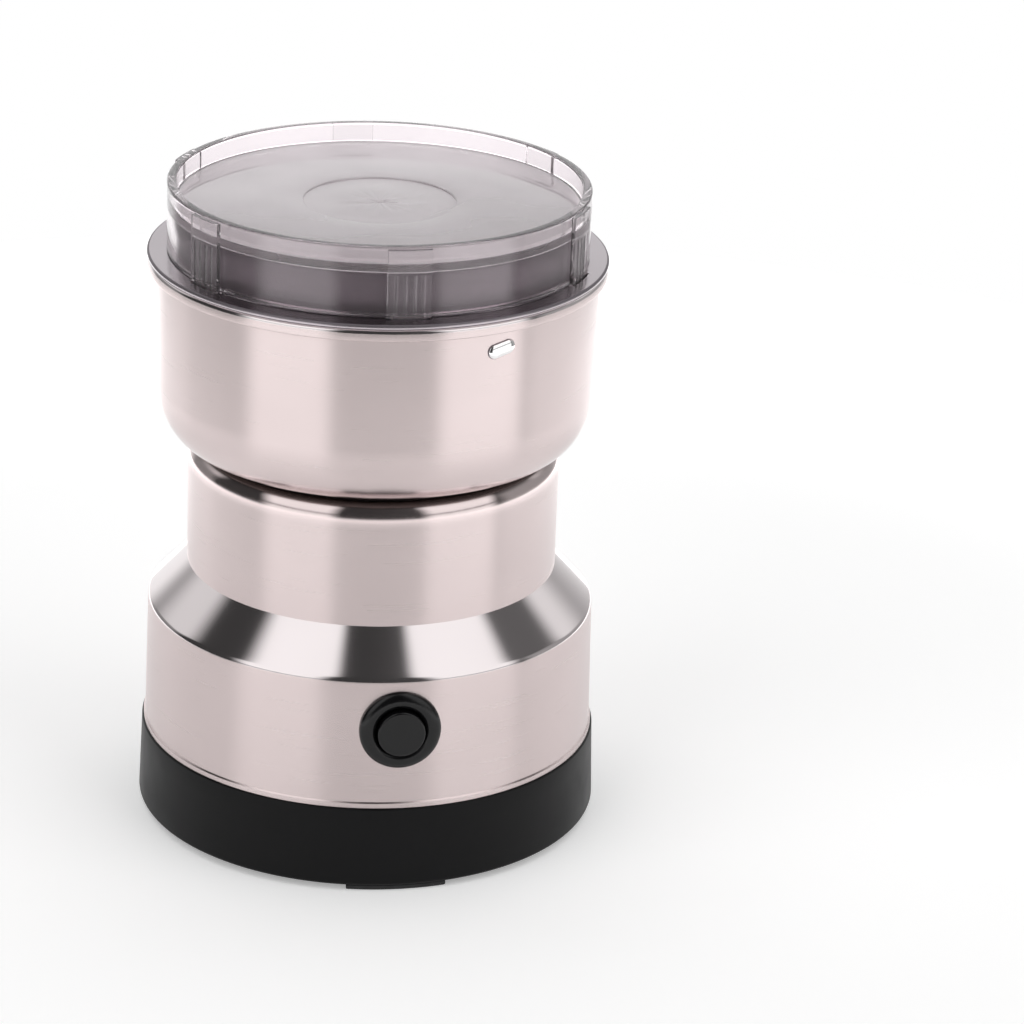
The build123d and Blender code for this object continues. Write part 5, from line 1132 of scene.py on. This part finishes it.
def vented_cover():
    """Cover that closes the base, with a ring of cooling slots and sunk screw holes."""
    piece = follow(
        "vented_cover",
        SLOTTED_PLATE,
        Plate_Radius=COVER_RADIUS * MM,
        Bottom=BASE_BOTTOM * MM,
        Thickness=(COVER_TOP - BASE_BOTTOM) * MM,
        Slots=VENTS,
        Slot_Length=VENT_SIZE[0] * MM,
        Slot_Width=VENT_SIZE[1] * MM,
        Slot_Circle=VENT_CIRCLE * MM,
        Finish=base_black,
    )
    overlap = 1.0
    boss_low = COVER_TOP - overlap
    bore_middle = CLAMP_TOP + overlap - CLAMP_BORE[1] / 2
    bosses = []
    holes = []
    for side in (-1, 1):
        place = (side * CLAMP_PLACE[0], CLAMP_PLACE[1])
        bosses.append(rod(CLAMP_BOSS, CLAMP_TOP - boss_low, (*place, (CLAMP_TOP + boss_low) / 2)))
        holes.append(rod(*CLAMP_BORE, (*place, bore_middle)))
    cut(piece, bosses, "UNION")
    for post in range(POSTS):
        place = around(POST_CIRCLE, POST_START + post * 360 / POSTS)
        holes.append(rod(BORE_RADIUS, 2 * (BORE_TOP - BASE_BOTTOM), (*place, BASE_BOTTOM)))
        holes.append(rod(SHANK_RADIUS + 0.2, 8.0, (*place, COVER_TOP)))
    return sharpen(cut(piece, holes))


cover_piece = vented_cover()
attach(cover_piece, "housing")
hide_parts("bottom_cover")


def cross_recess(level):
    """Cutters for the cross in the head of a screw whose head faces down and ends at level."""
    size = (RECESS_WIDTH, RECESS_WIDTH * RECESS_ARM, 2 * RECESS_DEPTH)
    blades = []
    for turn in (0, 90):
        build = bmesh.new()
        bmesh.ops.create_cube(build, size=1.0)
        for corner in build.verts:
            if corner.co.z > 0:
                corner.co.x *= RECESS_TAPER
            corner.co *= Vector(size) * MM
        build.transform(Matrix.Translation((0, 0, level * MM)) @ Matrix.Rotation(math.radians(turn), 4, "Z"))
        blades.append(finish_mesh("cutter", build, []))
    return blades


def cover_screws():
    """Four pan-head screws with a cross recess, heads down."""
    low = BORE_TOP - HEAD_HEIGHT
    dome = HEAD_HEIGHT - HEAD_EDGE
    end = BORE_TOP + SCREW_LENGTH
    point = end - SCREW_TIP[1]
    outline = [(0, low)] + arc((0, low + dome), HEAD_RADIUS, 270, 90, 14, dome)[1:]
    outline += [(HEAD_RADIUS, low + dome), (HEAD_RADIUS, BORE_TOP), (SHANK_RADIUS, BORE_TOP)]
    outline += line((SHANK_RADIUS, BORE_TOP + 0.1), (SHANK_RADIUS, point), 6)
    outline += [(SHANK_RADIUS, point), (SCREW_TIP[0], end), (0, end)]
    screw = turned("screw", [(outline, 0)], [FINISHES["zinc_fasteners"]], 64)
    cut(screw, cross_recess(low))
    return sharpen(copies("cover_screws", screw, POSTS, POST_CIRCLE, POST_START, FINISHES["zinc_fasteners"]))


screws_below = cover_screws()
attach(screws_below, "housing")
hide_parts("bottom_screws")


# ---- push button and its bezel
BUTTON_RADIUS = 5.3
BUTTON_FACE = -54.05
BUTTON_EDGE = 0.45
BUTTON_COLLAR = (6.3, -47.5, -46.0)     # radius, front and back
BUTTON_STEM = (2.0, -42.7)              # radius and back
GUIDE_RADIUS = 5.5
BEZEL_RADIUS = 9.1
BEZEL_CREST = -52.85
BEZEL_FALLS = (0.95, 1.5)               # how far its face falls back inside and outside the crest
CREST_RADIUS = 6.9
BARREL_RADIUS = 7.5
BARREL_BACK = -40.0
CHAMBER_RADIUS = 6.6
CHAMBER_FRONT = -48.0
AT_THE_WALL = -50.0         # stands for the wall's face until the bezel is fitted to it
WALL_GAP = 0.05


def to_button_axis(piece):
    """Turns a piece that was made upright to lie along the button's axis."""
    place = Matrix.Translation((0, 0, BUTTON_HEIGHT * MM))
    piece.data.transform(place @ Matrix.Rotation(-math.pi / 2, 4, "X"))
    return piece


def bezel():
    inner = BEZEL_CREST + BEZEL_FALLS[0]
    outer = BEZEL_CREST + BEZEL_FALLS[1]
    outline = line((GUIDE_RADIUS, CHAMBER_FRONT), (GUIDE_RADIUS, inner), 2)
    outline += arc((CREST_RADIUS, inner), CREST_RADIUS - GUIDE_RADIUS, 180, 90, 10, BEZEL_FALLS[0])
    outline += arc((CREST_RADIUS, outer), BEZEL_RADIUS - CREST_RADIUS, 270, 90, 14, BEZEL_FALLS[1])
    outline += [(BEZEL_RADIUS, outer), (BEZEL_RADIUS, AT_THE_WALL)]
    outline += [(BARREL_RADIUS, AT_THE_WALL), (BARREL_RADIUS, BARREL_BACK)]
    outline += [(CHAMBER_RADIUS, BARREL_BACK), (CHAMBER_RADIUS, CHAMBER_FRONT)]
    piece = to_button_axis(turned("bezel_ring", [(outline, 0)], [switch_black], 160))
    slope = (SHOULDER[0] - BODY_LOW[0]) / (SHOULDER[1] - BODY_LOW[1])
    for corner in piece.data.vertices:
        if abs(corner.co.y - AT_THE_WALL * MM) < 0.01 * MM:
            wall = BODY_LOW[0] * MM + slope * (corner.co.z - BODY_LOW[1] * MM)
            corner.co.y = WALL_GAP * MM - math.sqrt(wall**2 - corner.co.x**2)
    return sharpen(piece)


bezel_ring = bezel()
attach(bezel_ring, "housing")
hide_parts("switch_bezel")


def button():
    edge = (BUTTON_RADIUS - BUTTON_EDGE, BUTTON_FACE + BUTTON_EDGE)
    collar, front, back = BUTTON_COLLAR
    stem, end = BUTTON_STEM
    outline = line((0, BUTTON_FACE), (edge[0], BUTTON_FACE), 4)
    outline += arc(edge, BUTTON_EDGE, 270, 90, 8)
    outline += line((BUTTON_RADIUS, edge[1]), (BUTTON_RADIUS, front), 4)
    outline += [(BUTTON_RADIUS, front), (collar, front), (collar, back), (stem, back), (stem, end), (0, end)]
    return sharpen(to_button_axis(turned("button_cap", [(outline, 0)], [switch_black], 128)))


button_cap = button()
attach(button_cap, "button")
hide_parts("push_button")


# ---- return springs of button and interlock pin
BUTTON_COIL = (4.0, 0.7, 6.0, 3.5)      # radius, wire, length and turns
PIN_PLACE = -46.7
PIN_COIL_SEAT = 116.0
PIN_COIL = (1.33, 0.35, 8.4, 5.0)
COIL_STEPS = 36             # divisions of a turn
WIRE_STEPS = 12
WIRE_FIT = 0.9              # thickness drawn, as a share of the wire


def coil(name, size, place, axis):
    """A coil spring of round wire that stands on place and runs along axis."""
    radius, wire, length, turns = size
    thick = WIRE_FIT * wire / 2
    pitch = (length - wire) / turns
    build = bmesh.new()
    rings = []
    for step in range(round(COIL_STEPS * turns) + 1):
        turn = math.tau * step / COIL_STEPS
        outwards = Vector((math.cos(turn), math.sin(turn), 0))
        ahead = Vector((-radius * math.sin(turn), radius * math.cos(turn), pitch / math.tau)).normalized()
        across = ahead.cross(outwards)
        middle = outwards * radius + Vector((0, 0, wire / 2 + pitch * step / COIL_STEPS))
        ring = []
        for side in range(WIRE_STEPS):
            lean = math.tau * side / WIRE_STEPS
            skin = middle + (outwards * math.cos(lean) + across * math.sin(lean)) * thick
            ring.append(build.verts.new(skin * MM))
        rings.append(ring)
    join_loops(build, rings)
    stand(build, place, axis)
    return sharpen(finish_mesh(name, build, [FINISHES["spring_steel"]]))


button_seat = (0.0, BARREL_BACK, BUTTON_HEIGHT)
button_coil = coil("button_coil", BUTTON_COIL, button_seat, (0, -1, 0))
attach(button_coil, "housing")
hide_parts("button_spring")
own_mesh(button_coil)

pin_seat = Vector((0.0, PIN_PLACE, PIN_COIL_SEAT))
pin_coil = coil("pin_coil", PIN_COIL, pin_seat, (0, 0, 1))
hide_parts("interlock_spring")
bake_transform(pin_coil)


# ---- serrated cross blade
BLADE_GRAIN = 0.28          # size to which the blade's corners are softened
BLADE_SOFTENING = 2


def forged_blade():
    """The cross blade with the soft corners of a rough blank that was ground on its faces."""
    build = bmesh.new()
    build.from_mesh(frame["nodes"]["blade"].data)
    piece = finish_mesh("forged_blade", build, [FINISHES["blade_steel"]])
    skin = piece.modifiers.new("skin", "REMESH")
    skin.mode = "VOXEL"
    skin.voxel_size = BLADE_GRAIN * MM
    soft = piece.modifiers.new("soft", "SMOOTH")
    soft.iterations = BLADE_SOFTENING
    soft.factor = 0.5
    apply_steps(piece)
    piece.data.materials.clear()
    piece.data.materials.append(FINISHES["blade_steel"])
    return sharpen(piece, 60)


blade_piece = forged_blade()
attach(blade_piece, "rotor")
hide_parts("blade")


# ---- studio
# Directions are degrees: side is to the right of straight ahead of the object, and rise above the horizon.
LIGHT_LEVEL = 1.25
LEFT_LIGHT = (-82.0, -68.0, -37.0, -25.0)       # sides where it starts, is full, starts to end, ends
RIGHT_LIGHT = (18.0, 31.0, 64.0, 76.0)
LIGHT_SPREAD = 13.0         # how much wider the lights are at the top
DARK_GAP = 5.0              # rise of the thin dark band across the lights
GAP_EDGES = (1.5, 3.5)      # how far from its middle the lights start, and are full
SWEEP_LEVEL = 1.1           # the pale backdrop, at its middle
SWEEP_START = (112.0, 124.0)
SWEEP_EXTRA = 9.0           # how much sooner it starts on the right
SWEEP_RISE = (8.0, 22.0)    # where its darker ends turn lighter upwards
LEFT_END = (0.28, 0.85)     # levels of its ends, low and high
RIGHT_END = (0.4, 0.95)
WALL_LEVEL = 0.4
DARK = (0.05, 0.14)         # the room without lights, on the left and on the right


def studio_world():
    """Plain white surroundings to the eye, and in reflections a room with two large soft lights."""
    world = bpy.data.worlds.new("studio")
    world.use_nodes = True
    bpy.context.scene.world = world
    tree = Tree(world.node_tree)
    x, y, z = tree.parts(tree.add("ShaderNodeTexCoord").outputs["Generated"])
    side = tree.calc("DEGREES", tree.calc("ARCTAN2", x, tree.times(y, -1.0)))
    rise = tree.calc("DEGREES", tree.calc("ARCSINE", z))
    away = tree.calc("ABSOLUTE", side)

    spread = tree.fit(rise, 8.0, 52.0, 0.0, LIGHT_SPREAD)
    left = tree.fit(tree.plus(side, spread), *LEFT_LIGHT[:2])
    left = tree.times(left, tree.fit(side, *LEFT_LIGHT[2:], 1.0, 0.0))
    right = tree.fit(tree.calc("SUBTRACT", side, spread), *RIGHT_LIGHT[2:], 1.0, 0.0)
    right = tree.times(right, tree.fit(side, *RIGHT_LIGHT[:2]))
    from_gap = tree.calc("ABSOLUTE", tree.calc("SUBTRACT", rise, DARK_GAP))
    lights = tree.times(tree.plus(left, right), LIGHT_LEVEL)
    lights = tree.times(lights, tree.fit(from_gap, *GAP_EDGES))

    on_right = tree.fit(side, -1.0, 1.0)
    from_end = tree.plus(away, tree.times(on_right, SWEEP_EXTRA))
    sweep = tree.times(tree.fit(from_end, *SWEEP_START), tree.fit(rise, 40.0, 48.0, 1.0, 0.1))
    left_sweep = tree.fit(away, 144.0, 160.0, tree.fit(rise, *SWEEP_RISE, *LEFT_END), SWEEP_LEVEL)
    right_sweep = tree.fit(away, 124.0, 172.0, tree.fit(rise, *SWEEP_RISE, *RIGHT_END), SWEEP_LEVEL)
    sweep = tree.times(sweep, tree.mix(on_right, left_sweep, right_sweep))
    ceiling = tree.times(tree.fit(rise, 54.0, 62.0), tree.fit(away, 20.0, 60.0))
    wall = tree.times(tree.fit(rise, 18.0, 40.0, 1.0, 0.0), tree.fit(side, 68.0, 84.0))

    light = tree.fit(side, -20.0, 80.0, *DARK)
    for other in (lights, sweep, tree.times(wall, WALL_LEVEL), tree.times(ceiling, LIGHT_LEVEL)):
        light = tree.calc("MAXIMUM", light, other)

    room = tree.add("ShaderNodeBackground", {"Color": WHITE, "Strength": light}).outputs[0]
    plain = tree.add("ShaderNodeBackground", {"Color": WHITE, "Strength": 1.0}).outputs[0]
    seen = tree.add("ShaderNodeLightPath").outputs["Is Camera Ray"]
    mixed = tree.add("ShaderNodeMixShader", {0: seen, 1: room, 2: plain}).outputs[0]
    tree.add("ShaderNodeOutputWorld", {"Surface": mixed})


FLOOR_RADIUS = 0.42         # metres
FLOOR_GLOW = (0.32, 0.54)   # near the object and at the rim, so that the floor ends in plain white
SHEEN = 0.8                 # how much brighter the floor is in reflections, away from the object


def floor():
    """A wide pale floor that is white in full light and keeps the shadow."""
    build = bmesh.new()
    bmesh.ops.create_circle(build, cap_ends=True, segments=192, radius=FLOOR_RADIUS)
    made, tree = material("pale_floor")
    diffuse = tree.add("ShaderNodeBsdfDiffuse", {"Color": rgb(0.9, 0.9, 0.9)}).outputs[0]
    far = tree.length(tree.object_point())
    sheen = tree.fit(far, 0.18, 0.32, 0.0, SHEEN)
    reflected = tree.times(tree.add("ShaderNodeLightPath").outputs["Is Glossy Ray"], sheen)
    strength = tree.plus(reflected, tree.fit(far, 0.2, 0.4, *FLOOR_GLOW))
    glow = tree.add("ShaderNodeEmission", {"Color": WHITE, "Strength": strength}).outputs[0]
    both = tree.add("ShaderNodeAddShader", {0: diffuse, 1: glow}).outputs[0]
    tree.add("ShaderNodeOutputMaterial", {"Surface": both})
    made.cycles.emission_sampling = "NONE"
    finish_mesh("floor", build, [made])


CAMERA_PLACE = Vector((-0.12013, -0.83362, 0.41019))
CAMERA_YAW = 10.3752
CAMERA_PITCH = 21.9349
CAMERA_ROLL = 2.2147
CAMERA_LENS = 139.414


def camera():
    yaw = math.radians(CAMERA_YAW)
    pitch = math.radians(CAMERA_PITCH)
    roll = math.radians(CAMERA_ROLL)
    ahead = Vector((math.sin(yaw) * math.cos(pitch), math.cos(yaw) * math.cos(pitch), -math.sin(pitch)))
    level = Vector((math.cos(yaw), -math.sin(yaw), 0.0))
    upright = level.cross(ahead)
    right = level * math.cos(roll) + upright * math.sin(roll)
    up = upright * math.cos(roll) - level * math.sin(roll)
    lens = bpy.data.cameras.new("camera")
    lens.lens = CAMERA_LENS
    lens.sensor_width = 36.0
    lens.clip_start = 0.01
    lens.clip_end = 50.0
    viewer = bpy.data.objects.new("camera", lens)
    bpy.context.scene.collection.objects.link(viewer)
    viewer.matrix_world = Matrix.Translation(CAMERA_PLACE) @ Matrix((right, up, -ahead)).transposed().to_4x4()
    bpy.context.scene.camera = viewer


studio_world()
floor()
camera()
bpy.context.scene.view_settings.view_transform = "Standard"
